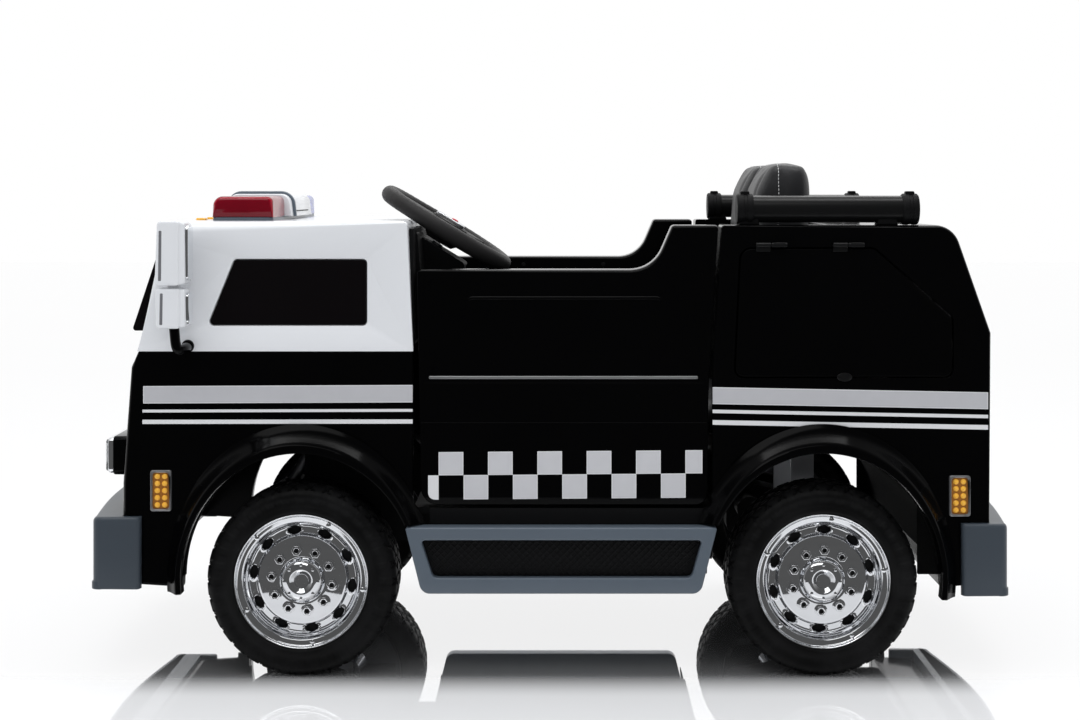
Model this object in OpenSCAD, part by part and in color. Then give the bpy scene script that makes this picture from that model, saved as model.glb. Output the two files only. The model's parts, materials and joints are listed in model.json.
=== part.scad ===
// Child's ride-on police truck: a battery-driven toy for two, with a cab-over front,
// an open cockpit between two doors, a storage body behind and four moulded wheels.
// +X is forward, +Y is the driver's left, +Z is up. The origin is on the floor, under the
// middle of the truck.

/* [Wheels] */
// Diameter of the tyres
wheel_d = 250; // [246:1:254]
// Width of one tyre
tyre_w = 97; // [90:1:98]
// Width over the outer faces of the tyres
track_w = 605; // [603:1:612]
// Distance of the front axle ahead of the origin
front_axle_x = 329; // [325:1:333]
// Distance between the axles
wheelbase = 685; // [680:1:690]
// Diameter of the axles
axle_d = 16; // [12:1:18]

/* [Body] */
// Width of the body over its flat sides
body_w = 550; // [546:1:552]
// Height of the cab roof above the floor
roof_z = 597; // [590:1:604]
// Height of the rear deck above the floor
deck_z = 592; // [588:1:596]
// Height of the seam between the white cab and the dark body
waist_z = 425; // [420:1:430]
// Height of the door's lower edge
door_foot_z = 221; // [218:1:226]
// Thickness of the moulded body walls
wall = 10; // [8:1:11]
// Thickness of a door
door_t = 45; // [40:1:46]
// Gap round the doors
gap = 4; // [3:1:5]

/* [Arches] */
// Half the length of a wheel arch
arch_a = 154.5; // [152:0.5:156]
// Height of a wheel arch above the axle
arch_b = 167.5; // [164:0.5:170]
// Width over the arch flares
flare_w = 602; // [598:1:604]

/* [Cockpit] */
// Height of the floor pan's underside
floor_z = 150; // [148:1:152]
// Height of the steering wheel's centre
hand_z = 584.5; // [582:0.5:588]
// Distance of the steering wheel's centre ahead of the origin
hand_x = 149; // [146:1:150]
// Tilt of the steering wheel from level
hand_tilt = 31.5; // [31:0.1:33]
// Distance of each seat's middle from the centre line
seat_y = 110; // [108:1:112]

/* [Rack and lights] */
// Diameter of the rack tubes
rack_d = 36; // [34:1:37]
// Distance of each rack tube from the centre line
rack_y = 252; // [248:1:253]
// Length of the light bar across the roof
bar_w = 440; // [430:1:446]

/* [Hidden] */
$fn = 64;

black = [0.05, 0.05, 0.055];
white = [0.9, 0.9, 0.91];
slate = [0.42, 0.46, 0.51];
steel = [0.6, 0.62, 0.64];
chrome = [0.82, 0.83, 0.85];
amber = [0.95, 0.6, 0.1];

half_w = body_w / 2;
wheel_r = wheel_d / 2;
wheel_y = track_w / 2 - tyre_w / 2;
rear_axle_x = front_axle_x - wheelbase;
front_arch_x = front_axle_x + 4;
rear_arch_x = rear_axle_x - 2;
seam_x = 184;
door_front_x = seam_x - gap;
tub_front_x = 345;
tub_half = 140;
king_y = 180;
well_r = 168;
pin_clear = 0.05;
clip = 0.3;
hub_depth = 76;

// ---- outlines ---------------------------------------------------------------------

function unit(v) = v / norm(v);

// One corner b of an outline, rounded to radius r by n chords between its two tangents.
function corner(a, b, c, r, n) =
    r <= 0 ? [b] :
    let (u = unit(a - b), v = unit(c - b),
         half = acos(max(-1, min(1, u * v))) / 2,
         mid = b + unit(u + v) * r / sin(half),
         start = b + u * r / tan(half) - mid,
         stop = b + v * r / tan(half) - mid,
         from = atan2(start.y, start.x),
         turn = atan2(stop.y, stop.x) - from,
         sweep = turn > 180 ? turn - 360 : turn < -180 ? turn + 360 : turn)
    [for (k = [0:n]) mid + r * [cos(from + sweep * k / n), sin(from + sweep * k / n)]];

// An outline whose points are [x, y, corner radius].
function rounded(p, n = 5) =
    let (m = len(p), q = [for (v = p) [v.x, v.y]])
    [for (i = [0:m - 1]) each corner(q[(i + m - 1) % m], q[i], q[(i + 1) % m], p[i][2], n)];

// Half an ellipse of half-axes a and b above its centre, closed far below it.
function arch(cx, a, b) = concat(
    [for (t = [0:6:180]) [cx + a * cos(t), wheel_r + b * sin(t)]],
    [[cx - a, -50], [cx + a, -50]]);

// A shape drawn in X and Z, as thick as from y0 to y1.
module slab(y0, y1) {
    translate([0, y1, 0]) rotate([90, 0, 0]) linear_extrude(y1 - y0) children();
}

// The same solid on both sides of the truck.
module both_sides() {
    children();
    mirror([0, 1, 0]) children();
}

// A box between two corners.
module block(lo, hi) {
    translate(lo) cube(hi - lo);
}

// ---- body ------------------------------------------------------------------------

nose = [[seam_x, waist_z, 0], [548, waist_z, 0], [558, 404, 12], [564, 322, 0],
        [569, 250, 0], [569, 117, 6], [489, 112, 5], [480, 40, 0], [seam_x, 40, 0]];
nose_inside = [[seam_x - 20, waist_z + 1, 0], [538, waist_z + 1, 0], [548, 400, 8],
               [554, 322, 0], [559, 250, 0], [559, 60, 0], [480, 40, 0],
               [seam_x - 20, 40, 0]];
lining_end_x = 436;

// Puts a solid drawn along +Z onto the steering axis, pointing down it.
module on_shaft() {
    translate([hand_x, seat_y, hand_z]) rotate([0, 180 - hand_tilt, 0]) children();
}

module front_sides() {
    color(black) both_sides() slab(half_w - wall, half_w) difference() {
        polygon(rounded(nose));
        polygon(arch(front_arch_x, arch_a, arch_b));
    }
}

// The nose between the side walls, and the lining over and behind the wheels.
module front_shell() {
    color(black) difference() {
        slab(-half_w + wall, half_w - wall) difference() {
            polygon(rounded(nose));
            difference() {
                polygon(rounded(nose_inside));
                intersection() {
                    translate([front_arch_x, wheel_r]) circle(well_r + wall, $fn = 96);
                    translate([0, 0]) square([lining_end_x, 400]);
                }
            }
            translate([front_arch_x, wheel_r]) circle(well_r, $fn = 96);
            translate([front_arch_x - well_r, -50]) square([2 * well_r, wheel_r + 50]);
        }
        block([seam_x - 1, -tub_half + 8, floor_z], [tub_front_x - 8, tub_half - 8, 320]);
        on_shaft() cylinder(r = axle_d / 2 + 4, h = 420);
    }
}

module floor_tub() {
    tub_end = -212;
    pan_x = 162;
    inner = half_w - door_t;
    sill_z = door_foot_z - gap;
    color(black) {
        difference() {
            union() {
                block([tub_end, -half_w + 3, floor_z], [pan_x, half_w - 3, sill_z]);
                block([pan_x - 1, -tub_half, floor_z], [seam_x, tub_half, sill_z]);
                block([pan_x - 1, -half_w + wall, sill_z - 8], [seam_x, half_w - wall, sill_z]);
                slab(-tub_half, tub_half) intersection() {
                    translate([0, floor_z]) square([tub_front_x, 150]);
                    translate([front_arch_x, wheel_r]) circle(well_r - clip, $fn = 96);
                }
            }
            block([tub_end + 8, -inner, floor_z + 8], [pan_x - 8, inner, 400]);
            block([pan_x - 20, -tub_half + 8, floor_z + 8],
                  [tub_front_x - 8, tub_half - 8, 400]);
            on_shaft() cylinder(r = axle_d / 2 + 3, h = 480);
        }
    }
}

cab_top_x = 514;
cab_foot_x = 549;
cab = [[seam_x + 7, roof_z, 6], [cab_top_x, roof_z, 22], [cab_foot_x, waist_z, 0],
       [seam_x, waist_z, 0]];
cab_inside = [[seam_x - 20, roof_z - wall, 0], [504, roof_z - wall, 14], [537, waist_z - 1, 0],
              [seam_x - 20, waist_z - 1, 0]];
side_pane = [[420, 546, 5], [246, 546, 5], [246, 460, 5], [455, 460, 5]];

module cab_shell() {
    color(white) difference() {
        slab(-half_w, half_w) polygon(rounded(cab));
        slab(-half_w + wall, half_w - wall) polygon(rounded(cab_inside));
        slab(-half_w - 1, half_w + 1) polygon(rounded(side_pane));
        // The windscreen opening goes through the sloping front.
        block([480, -225, 455], [600, 225, 552]);
    }
}

module cab_side_windows() {
    color(black) both_sides() slab(half_w - wall, half_w - 1.5)
        offset(delta = -0.2) polygon(rounded(side_pane));
}

// X of the cab's sloping front at a height.
function cab_front(z) = cab_top_x + (roof_z - z) * (cab_foot_x - cab_top_x) / (roof_z - waist_z);

// The screen is a slab that stands proud of the sloping front, further at its foot.
module windscreen() {
    color(black) slab(-245, 245) polygon(rounded([[cab_front(560), 560, 0], [526.5, 560, 1.5],
        [563, 450, 4], [cab_front(450), 450, 0]]));
}

module dashboard() {
    color(black) difference() {
        union() {
            slab(-228, 228) polygon(rounded([[seam_x + 5, 582, 0], [182, 582, 6],
                [177, 520, 8], [179, 440, 8], [seam_x + 5, 432, 0]]));
            // Shroud over the steering column, just clear of the wheel's hub.
            slab(seat_y - 38, seat_y + 38) polygon(rounded([[184.5, 574.5, 2],
                [120.5, 535.4, 6], [126, 525, 4], [160, 523, 0], [seam_x + 5, 523, 0]]));
            block([seam_x, -half_w + wall, 432], [seam_x + 5, half_w - wall, roof_z - wall]);
        }
        on_shaft() cylinder(r = axle_d / 2 + 2, h = 260);
    }
}

tail = [[-225, deck_z, 3], [-526, deck_z, 20], [-581, 449, 8], [-579, 117, 6], [-505, 112, 5],
        [-500, 40, 0], [-212, 40, 0], [-212, 400, 0]];
tail_inside = [[-382, deck_z - wall, 0], [-519, deck_z - wall, 14], [-570, 447, 4],
               [-569, 127, 4], [-524, 127, 4], [-505, 250, 0], [-455, 303, 0],
               [-382, 303, 0]];
hatch_outline = [[-249, 562, 16], [-427, 562, 10], [-531, 470, 12], [-531, 390, 12],
                 [-241, 390, 12]];
recess_half = 218;

module rear_sides() {
    color(black) both_sides() slab(half_w - wall, half_w) difference() {
        polygon(rounded(tail));
        polygon(arch(rear_arch_x, arch_a, arch_b));
        polygon(rounded(hatch_outline));
    }
}

// The storage body's section between its side walls: deck, tail and the arch's lining.
module rear_section() {
    difference() {
        polygon(rounded(tail));
        polygon(rounded(tail_inside));
        polygon(arch(rear_arch_x, arch_a, arch_b));
    }
}

// Beside the seats, with a pocket behind each hatch.
module rear_pockets() {
    color(black) both_sides() difference() {
        slab(recess_half, half_w - wall) rear_section();
        block([-383, recess_half + 8, 380], [-240, half_w, 572]);
    }
}

module rear_middle() {
    color(black) difference() {
        slab(-recess_half, recess_half) rear_section();
        // Shallow luggage recess in the deck.
        block([-500, -half_w, deck_z - 2], [-385, half_w, deck_z + 1]);
        // Recess that holds the seats, open to the front and to the top.
        block([-372, -half_w, 302], [-200, half_w, 700]);
    }
}

// A door's side view: low beside the driver, swept up to the deck behind.
door_outline = [[door_front_x, 533, 6], [-130, 533, 58], [-159.5, deck_z, 6],
                [-221, deck_z, 5], [-208, 400, 0], [-206, door_foot_z, 16],
                [173, door_foot_z, 22]];

module door() {
    color(black) slab(half_w - door_t, half_w) polygon(rounded(door_outline));
}

module left_door() { door(); }
module right_door() { mirror([0, 1, 0]) door(); }

hinge_z = 566;
hinge_y = half_w + 3.3;
hinge_xs = [-290, -392];

module hatch() {
    color(black) {
        slab(half_w - wall, half_w) offset(delta = -1.5) polygon(rounded(hatch_outline));
        // Latch knob at the foot of the hatch, on a neck.
        translate([-387, half_w + 3.3, 394]) rotate([90, 0, 0]) cylinder(r = 10, h = 3);
        translate([-387, half_w + 1, 397.5]) rotate([90, 0, 0]) cylinder(r = 5, h = 9);
        for (x = hinge_xs) {
            translate([x + clip, hinge_y, hinge_z]) rotate([0, 90, 0]) cylinder(r = 3, h = 20);
            block([x + clip, half_w + 1, 554], [x + 20, hinge_y, hinge_z - 1]);
            block([x + clip, half_w - 2, 552], [x + 20, hinge_y, 558]);
        }
    }
}

module left_hatch() { hatch(); }
module right_hatch() { mirror([0, 1, 0]) hatch(); }

// The fixed halves of the hinges above each hatch.
module hatch_hinges() {
    color(black) both_sides() for (x = hinge_xs) {
        translate([x - 21, hinge_y, hinge_z]) rotate([0, 90, 0]) cylinder(r = 3, h = 21);
        block([x - 21, half_w, hinge_z - 3], [x, hinge_y, hinge_z + 3]);
    }
}

// ---- trim ------------------------------------------------------------------------

// A crescent lip round an arch, wide at the top and narrow where it runs down the leg.
// toward is 1 when the middle of the truck lies towards -X, and -1 when towards +X.
module flare(cx, toward, foot_z) {
    slab(half_w, flare_w / 2) intersection() {
        difference() {
            polygon([for (t = [0:6:354]) [cx + 176 * cos(t), wheel_r + 204 * sin(t)]]);
            polygon([for (t = [0:6:354]) [cx + arch_a * cos(t), wheel_r + arch_b * sin(t)]]);
        }
        union() {
            translate([cx - 220, 199]) square([440, 160]);
            translate([toward > 0 ? cx : cx - 220, foot_z]) square([220, 120]);
        }
        // Clear of the door's swing.
        difference() {
            translate([cx - 220, 0]) square([440, 400]);
            translate([-209, door_foot_z - 2]) square([door_front_x + 210, 200]);
        }
    }
}

module front_flares() { color(black) both_sides() flare(front_arch_x, 1, 108); }
module rear_flares() { color(black) both_sides() flare(rear_arch_x, -1, 101); }

step_frame = [[193, 196, 6], [160, 108, 22], [-193, 108, 22], [-217, 196, 6]];
step_recess = [[172, 179, 4], [156, 130, 8], [-183, 130, 8], [-197, 179, 4]];

module side_steps() {
    color(slate) both_sides() {
        difference() {
            slab(half_w, 300) polygon(rounded(step_frame));
            slab(286, 310) polygon(rounded(step_recess));
        }
        // Rib against the side of the tub.
        block([-195, half_w - 3, floor_z + 2], [155, half_w + 1, 192]);
    }
}

// A bumper wrapped round one end of the body. end is 1 for the front, -1 for the rear.
module bumper(end, side_x, corner_x, tip_x, lo, hi) {
    arm = half_w + 12;
    face = [for (k = [-10:10]) [end * (corner_x + (tip_x - corner_x) * cos(9 * k)),
                                 k / 10 * (arm - 16)]];
    body_x = end > 0 ? 569 : 579.5;
    color(slate) translate([0, 0, lo]) linear_extrude(hi - lo) difference() {
        polygon(concat([[end * side_x, -arm]], [[end * (corner_x - 12), -arm]], face,
                       [[end * (corner_x - 12), arm]], [[end * side_x, arm]]));
        translate([end > 0 ? 0 : -body_x, -half_w]) square([body_x, body_w]);
    }
}

module front_bumper() { bumper(1, 543, 606, 630, 112, 207); }

lamp_y = 205;
lamp_r = 14;

module rear_bumper() {
    difference() {
        bumper(-1, 541, 597, 626, 103, 198);
        both_sides() translate([-597, lamp_y, 170]) rotate([0, -90, 0])
            cylinder(r = lamp_r, h = 30);
    }
}

module grille() {
    color(slate) slab(-235, 235) polygon([[549, 424], [555, 424], [564.5, 404], [570, 322],
        [575, 250], [575, 236], [569.2, 236], [569.2, 250], [564.2, 322], [558.6, 404.8]]);
}

module headlamp_housings() {
    color(black) both_sides() difference() {
        block([566, 125, 255], [591, 235, 307]);
        slab(120, 240) polygon([[555, 240], [575, 240], [575, 250], [570, 322], [555, 322]]);
    }
}

module headlamp_lenses() {
    color(chrome) both_sides() block([591, 127, 257], [601, 233, 305]);
}

module side_markers() {
    color(amber) both_sides() for (x = [517, -539])
        block([x - 14, half_w, x > 0 ? 214 : 207], [x + 14, half_w + 5, x > 0 ? 268 : 261]);
}

module tail_lamps() {
    color("crimson") both_sides() translate([-597, lamp_y, 170]) rotate([0, -90, 0])
        cylinder(r = lamp_r, h = 15);
}

module roof_markers() {
    color(amber) for (k = [-2:2])
        block([478, 80 * k - 9, roof_z], [492, 80 * k + 9, roof_z + 3]);
}

bar_front_x = 460;
bar_rear_x = 378;
bar_foot_z = roof_z + 4.5;

module light_bar_base() {
    color(slate) block([bar_rear_x, -bar_w / 2, roof_z], [bar_front_x, bar_w / 2, bar_foot_z]);
}

lens_outline = [[bar_front_x, bar_foot_z, 0], [bar_front_x - 3, 630, 10],
                [bar_rear_x + 3, 630, 10], [bar_rear_x, bar_foot_z, 0]];

module red_lens() {
    color("crimson") slab(110, bar_w / 2) polygon(rounded(lens_outline));
}

module blue_lens() {
    color("royalblue") slab(-bar_w / 2, -110) polygon(rounded(lens_outline));
}

module light_bar_centre() {
    color(white) slab(-109.7, 109.7) polygon(rounded([[bar_front_x + 4, bar_foot_z, 0],
        [bar_front_x - 2, 637, 14], [bar_rear_x - 8, 637, 14], [bar_rear_x - 14, bar_foot_z, 0]]));
}

mirror_y = 291;

module mirror_arms() {
    color(black) both_sides() {
        translate([491, mirror_y + 20, 424]) cylinder(r = 7, h = 35);
        translate([482, mirror_y + 20, 431]) rotate([90, 0, 0])
            cylinder(r = 7, h = mirror_y + 20 - half_w);
        translate([491, mirror_y + 20, 431]) sphere(r = 9);
    }
}

module mirror_housings() {
    color(white) both_sides() {
        slab(mirror_y, mirror_y + 48)
            polygon(rounded([[473, 515, 6], [513, 515, 8], [510, 599, 10], [474, 599, 8]]));
        slab(mirror_y + 3, mirror_y + 45)
            polygon(rounded([[473, 459, 6], [512, 459, 8], [513, 511, 7], [474, 511, 6]]));
        translate([492, mirror_y + 20, 510]) cylinder(r = 8, h = 6);
    }
}

module mirror_glass() {
    color(chrome) both_sides() {
        block([470.5, mirror_y + 6, 522], [472.9, mirror_y + 42, 592]);
        block([470.5, mirror_y + 9, 465], [472.9, mirror_y + 39, 505]);
    }
}

rack_front_x = -246;
rack_rear_x = -488;
rack_z = deck_z + 21;

module rack_tubes() {
    color(black) both_sides() translate([rack_rear_x + 3, rack_y, rack_z])
        rotate([0, 90, 0]) cylinder(r = rack_d / 2, h = rack_front_x - rack_rear_x - 6);
}

module rack_clamps() {
    color(black) both_sides() {
        // End caps, each with a tab on top.
        difference() {
            for (x = [rack_front_x, rack_rear_x + 22]) {
                translate([x - 22, rack_y, rack_z]) rotate([0, 90, 0]) cylinder(r = 21, h = 22);
                block([x - 17, rack_y - 6, rack_z + 20], [x - 5, rack_y + 6, rack_z + 24]);
            }
            translate([rack_rear_x + 3, rack_y, rack_z]) rotate([0, 90, 0])
                cylinder(r = rack_d / 2, h = rack_front_x - rack_rear_x - 6);
        }
        for (x = [-262, -446])
            difference() {
                block([x - 14, rack_y - 12, deck_z], [x + 14, rack_y + 12, rack_z - 8]);
                translate([x - 20, rack_y, rack_z]) rotate([0, 90, 0])
                    cylinder(r = rack_d / 2, h = 40);
            }
    }
}

// ---- cockpit ---------------------------------------------------------------------

base_top_z = 302;
base_half = half_w - door_t - clip;

module seat_base() {
    color(black) difference() {
        block([-203.7, -base_half, floor_z + 8], [-85, base_half, base_top_z]);
        block([-197, -base_half + 7, floor_z + 7], [-92, base_half - 7, base_top_z - 7]);
    }
}

module battery() {
    color("dimgray") block([-192, -76, floor_z + 8], [-97, 76, floor_z + 103]);
}

seat_half = 94;

module seat_cushion() {
    color([0.1, 0.1, 0.1]) slab(seat_y - seat_half, seat_y + seat_half)
        polygon(rounded([[-78, base_top_z + 0.3, 8], [-78, 344, 18], [-240, 350, 14],
                         [-250, base_top_z + 0.3, 4]]));
}

module seat_back() {
    color([0.1, 0.1, 0.1]) slab(seat_y - seat_half, seat_y + seat_half)
        polygon(rounded([[-251, base_top_z + 0.3, 4], [-251, 350, 10], [-294, 660, 30],
                         [-300, 676, 16], [-352, 676, 16], [-361, 650, 20],
                         [-345, base_top_z + 0.3, 4]]));
}

module left_seat_cushion() { seat_cushion(); }
module left_seat_back() { seat_back(); }
module right_seat_cushion() { mirror([0, 1, 0]) seat_cushion(); }
module right_seat_back() { mirror([0, 1, 0]) seat_back(); }

module accelerator_pedal() {
    color(black) translate([298, -60, floor_z + 27.5]) rotate([0, -30, 0])
        block([-38, -25, 0], [38, 25, 6]);
    color(black) block([304, -64, floor_z + 8], [312, -56, floor_z + 34]);
}

// ---- steering --------------------------------------------------------------------

hand_r = 93;
arm_x = 50;
grip_r = 12;
shaft_len = 449;

// A flat rim with a hub and three spokes, facing up and back towards the driver.
module steering_wheel() {
    color(black) on_shaft() {
        rotate_extrude($fn = 72) translate([hand_r, 0]) circle(grip_r, $fn = 24);
        translate([0, 0, -12]) cylinder(r = 30, h = 28);
        translate([0, 0, 16]) cylinder(r1 = 30, r2 = 14, h = 8);
        for (a = [0, 120, 240]) rotate(a + 180)
            block([20, -13, -7], [hand_r - 6, 13, 7]);
    }
}

module steering_shaft() {
    color(steel) on_shaft() {
        translate([0, 0, 24]) cylinder(r = axle_d / 2, h = shaft_len - 24);
    }
}

// Steering gearbox on the front wall of the tub. The shaft enters it from above, and the
// drive pin of the tie rod works in the slot in its underside.
module steering_box() {
    color([0.12, 0.12, 0.13]) difference() {
        slab(70, 150) polygon(rounded([[tub_front_x, 168, 0], [tub_front_x, 232, 4],
            [374, 232, 12], [418, 206, 12], [418, 168, 6]]));
        on_shaft() cylinder(r = axle_d / 2 + 1, h = shaft_len + 1);
        block([front_axle_x + arm_x - 16, seat_y - 32, 160],
              [front_axle_x + arm_x + 12, seat_y + 32, 184]);
    }
}

beam_lo = 112;
beam_hi = 138;

module front_axle() {
    color(steel) difference() {
        union() {
            block([front_axle_x - 13, -king_y + 10, beam_lo],
                  [front_axle_x + 13, king_y - 10, beam_hi]);
            for (s = [-1, 1]) translate([front_axle_x, s * king_y, beam_lo])
                cylinder(r = 14, h = beam_hi - beam_lo);
            for (s = [-1, 1]) block([front_axle_x - 13, s * 100 - 15, beam_hi],
                                    [front_axle_x + 13, s * 100 + 15, floor_z]);
        }
        for (s = [-1, 1]) translate([front_axle_x, s * king_y, 0])
            cylinder(r = 6 + pin_clear, h = 200);
    }
}

// Fork round the beam's end with its king pin, the stub axle and a forward steering arm.
module knuckle() {
    color(steel) translate([front_axle_x, king_y, 0]) {
        for (z = [beam_lo - 6.5, beam_hi + 0.5]) {
            translate([0, 0, z]) cylinder(r = 14, h = 6);
            block([-14, 0, z], [14, 24, z + 6]);
        }
        translate([0, 0, beam_lo - 6.5]) cylinder(r = 6, h = beam_hi - beam_lo + 13);
        block([-14, 17, beam_lo - 6.5], [14, 24, beam_hi + 6.5]);
        translate([0, 23, wheel_r]) rotate([-90, 0, 0])
            cylinder(r = axle_d / 2, h = wheel_y - tyre_w / 2 + hub_depth - king_y - 25);
        block([0, -7, beam_hi + 0.5], [arm_x, 7, beam_hi + 6.5]);
        translate([arm_x, 0, beam_hi + 0.5]) cylinder(r = 8, h = 6);
        translate([arm_x, 0, beam_hi + 0.5]) cylinder(r = 4, h = 20);
    }
}

module left_knuckle() { knuckle(); }
module right_knuckle() { mirror([0, 1, 0]) knuckle(); }

rod_z = beam_hi + 12;

module tie_rod() {
    color(steel) difference() {
        union() {
            translate([front_axle_x + arm_x, -king_y + 6, rod_z]) rotate([-90, 0, 0])
                cylinder(r = 4, h = 2 * king_y - 12);
            for (s = [-1, 1]) translate([front_axle_x + arm_x, s * king_y, rod_z - 5])
                cylinder(r = 10, h = 10);
            // Drive pin for the steering gearbox.
            translate([front_axle_x + arm_x, seat_y, rod_z]) cylinder(r = 4, h = 28);
        }
        for (s = [-1, 1]) translate([front_axle_x + arm_x, s * king_y, 0])
            cylinder(r = 4 + pin_clear, h = 300);
    }
}

// ---- running gear ----------------------------------------------------------------

axle_tip = wheel_y - tyre_w / 2 + hub_depth - 2;

module rear_axle() {
    color(steel) {
        translate([rear_axle_x, -axle_tip, wheel_r]) rotate([-90, 0, 0])
            cylinder(r = axle_d / 2, h = 2 * axle_tip);
        // Brackets up to the ceiling of the arch.
        for (s = [-1, 1]) slab(s * 108 - 4, s * 108 + 4) intersection() {
            translate([rear_axle_x - 12, wheel_r - 12]) square([32, 200]);
            polygon(arch(rear_arch_x, arch_a, arch_b));
        }
    }
}

module gearboxes() {
    color([0.12, 0.12, 0.13]) both_sides() difference() {
        union() {
            slab(130, 190) polygon(rounded([[rear_axle_x - 34, 92, 20], [rear_axle_x + 90, 112, 16],
                [rear_axle_x + 90, 196, 20], [rear_axle_x - 34, 168, 26]]));
            translate([rear_axle_x + 60, 70, 158]) rotate([-90, 0, 0]) cylinder(r = 19, h = 61);
        }
        translate([rear_axle_x, 0, wheel_r]) rotate([-90, 0, 0])
            cylinder(r = axle_d / 2 + pin_clear, h = 300);
    }
}

// A tyre round its own axis along Y: flat tread, rounded shoulders, a bead on the rim.
module tyre() {
    h = tyre_w / 2;
    color([0.08, 0.08, 0.08]) rotate([90, 0, 0]) rotate_extrude($fn = 120)
        polygon(rounded([[wheel_r, -h + 16, 10], [wheel_r - 7, -h, 8], [90, -h, 4], [86, -h + 14, 3],
                         [86, h - 14, 3], [90, h, 4], [wheel_r - 7, h, 8], [wheel_r, h - 16, 10]]));
}

// A dished wheel in the tyre, its outer face towards +Y, bored for the axle.
module wheel() {
    h = tyre_w / 2;
    color(chrome) rotate([-90, 0, 0]) difference() {
        rotate_extrude($fn = 96) polygon([[0, h - 12], [13, h - 1], [28, h - 4], [31, h - 14],
            [50, h - 16], [60, h - 24], [72, h - 24], [76, h - 6], [88.6, h - 3], [85.7, h - 12],
            [85.7, -h + 14], [80, -h + 14], [78, h - 32], [30, h - 40], [24, -h + 8], [0, -h + 8]]);
        translate([0, 0, -h]) cylinder(r = axle_d / 2 + pin_clear, h = hub_depth);
    }
}

module at_wheel(x, side) {
    translate([x, side * wheel_y, wheel_r]) mirror([0, side < 0 ? 1 : 0, 0]) children();
}

module front_left_tyre() { at_wheel(front_axle_x, 1) tyre(); }
module front_left_wheel() { at_wheel(front_axle_x, 1) wheel(); }
module front_right_tyre() { at_wheel(front_axle_x, -1) tyre(); }
module front_right_wheel() { at_wheel(front_axle_x, -1) wheel(); }
module rear_left_tyre() { at_wheel(rear_axle_x, 1) tyre(); }
module rear_left_wheel() { at_wheel(rear_axle_x, 1) wheel(); }
module rear_right_tyre() { at_wheel(rear_axle_x, -1) tyre(); }
module rear_right_wheel() { at_wheel(rear_axle_x, -1) wheel(); }

floor_tub();
front_sides();
front_shell();
cab_shell();
windscreen();
cab_side_windows();
dashboard();
rear_sides();
rear_pockets();
rear_middle();
left_door();
right_door();
left_hatch();
right_hatch();
hatch_hinges();
front_flares();
rear_flares();
side_steps();
front_bumper();
rear_bumper();
grille();
headlamp_housings();
headlamp_lenses();
side_markers();
tail_lamps();
roof_markers();
light_bar_base();
light_bar_centre();
red_lens();
blue_lens();
mirror_arms();
mirror_housings();
mirror_glass();
rack_tubes();
rack_clamps();
seat_base();
left_seat_cushion();
left_seat_back();
right_seat_cushion();
right_seat_back();
steering_wheel();
steering_shaft();
steering_box();
front_axle();
left_knuckle();
right_knuckle();
tie_rod();
rear_axle();
gearboxes();
battery();
accelerator_pedal();
front_left_tyre();
front_left_wheel();
front_right_tyre();
front_right_wheel();
rear_left_tyre();
rear_left_wheel();
rear_right_tyre();
rear_right_wheel();
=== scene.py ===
"""The looks of a child's ride-on police truck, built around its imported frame.

Sizes in the functions are millimetres in the frame's own axes: +X forward, +Y the driver's
left, +Z up. Meshes are made in metres.
"""
import json
import math

import bmesh
import bpy
import numpy as np
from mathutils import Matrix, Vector
from mathutils.bvhtree import BVHTree
from mathutils.geometry import tessellate_polygon


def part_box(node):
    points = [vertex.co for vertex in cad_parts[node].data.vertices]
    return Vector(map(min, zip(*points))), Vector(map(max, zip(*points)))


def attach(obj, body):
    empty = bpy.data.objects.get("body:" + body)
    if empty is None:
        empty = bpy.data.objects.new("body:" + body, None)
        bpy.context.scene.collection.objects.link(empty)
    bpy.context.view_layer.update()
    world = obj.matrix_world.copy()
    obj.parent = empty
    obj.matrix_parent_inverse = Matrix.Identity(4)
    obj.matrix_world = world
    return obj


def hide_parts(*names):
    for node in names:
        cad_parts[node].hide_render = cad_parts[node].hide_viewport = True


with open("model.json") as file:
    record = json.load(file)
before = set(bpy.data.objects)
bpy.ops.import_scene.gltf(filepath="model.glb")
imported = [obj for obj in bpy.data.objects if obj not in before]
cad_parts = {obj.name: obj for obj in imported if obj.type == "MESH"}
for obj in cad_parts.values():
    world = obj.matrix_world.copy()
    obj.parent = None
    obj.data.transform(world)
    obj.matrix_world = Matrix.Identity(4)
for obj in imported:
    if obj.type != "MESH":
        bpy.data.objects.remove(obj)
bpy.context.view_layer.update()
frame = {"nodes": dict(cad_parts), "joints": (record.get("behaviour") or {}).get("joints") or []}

bl_info = {
    "name": "Ride-on police truck",
    "version": (1, 0, 0),
    "blender": (4, 5, 0),
    "location": "3D View > Sidebar > Truck",
    "description": "Builds the shells, seats, wheels and trim of a ride-on police truck",
    "category": "Add Mesh",
}

MM = 0.001
TURN = 2 * math.pi


def span(node):
    """Lowest and highest corner of a node, in millimetres."""
    return [np.array(corner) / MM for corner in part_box(node)]


HALF_W = span("front_sides")[1][1]
SEAM_X = span("front_sides")[0][0]
WAIST_Z = span("cab_shell")[0][2]
ROOF_Z = span("cab_shell")[1][2]
DECK_Z = span("rear_sides")[1][2]
REAR_SEAM_X = span("rear_sides")[1][0]
WHEELS = {name: sum(span(name + "_tyre")) / 2 for name in
          ("front_left", "front_right", "rear_left", "rear_right")}
WHEEL_R = WHEELS["front_left"][2]
TYRE_HALF = (span("front_left_tyre")[1][1] - span("front_left_tyre")[0][1]) / 2
FRONT_ARCH_X = WHEELS["front_left"][0] + 4
REAR_ARCH_X = WHEELS["rear_left"][0] - 2
ARCH_A, ARCH_B = 154.5, 167.5
WELL_R = 168


# ---- surfaces --------------------------------------------------------------------------

def unit(v):
    return v / np.linalg.norm(v)


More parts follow.
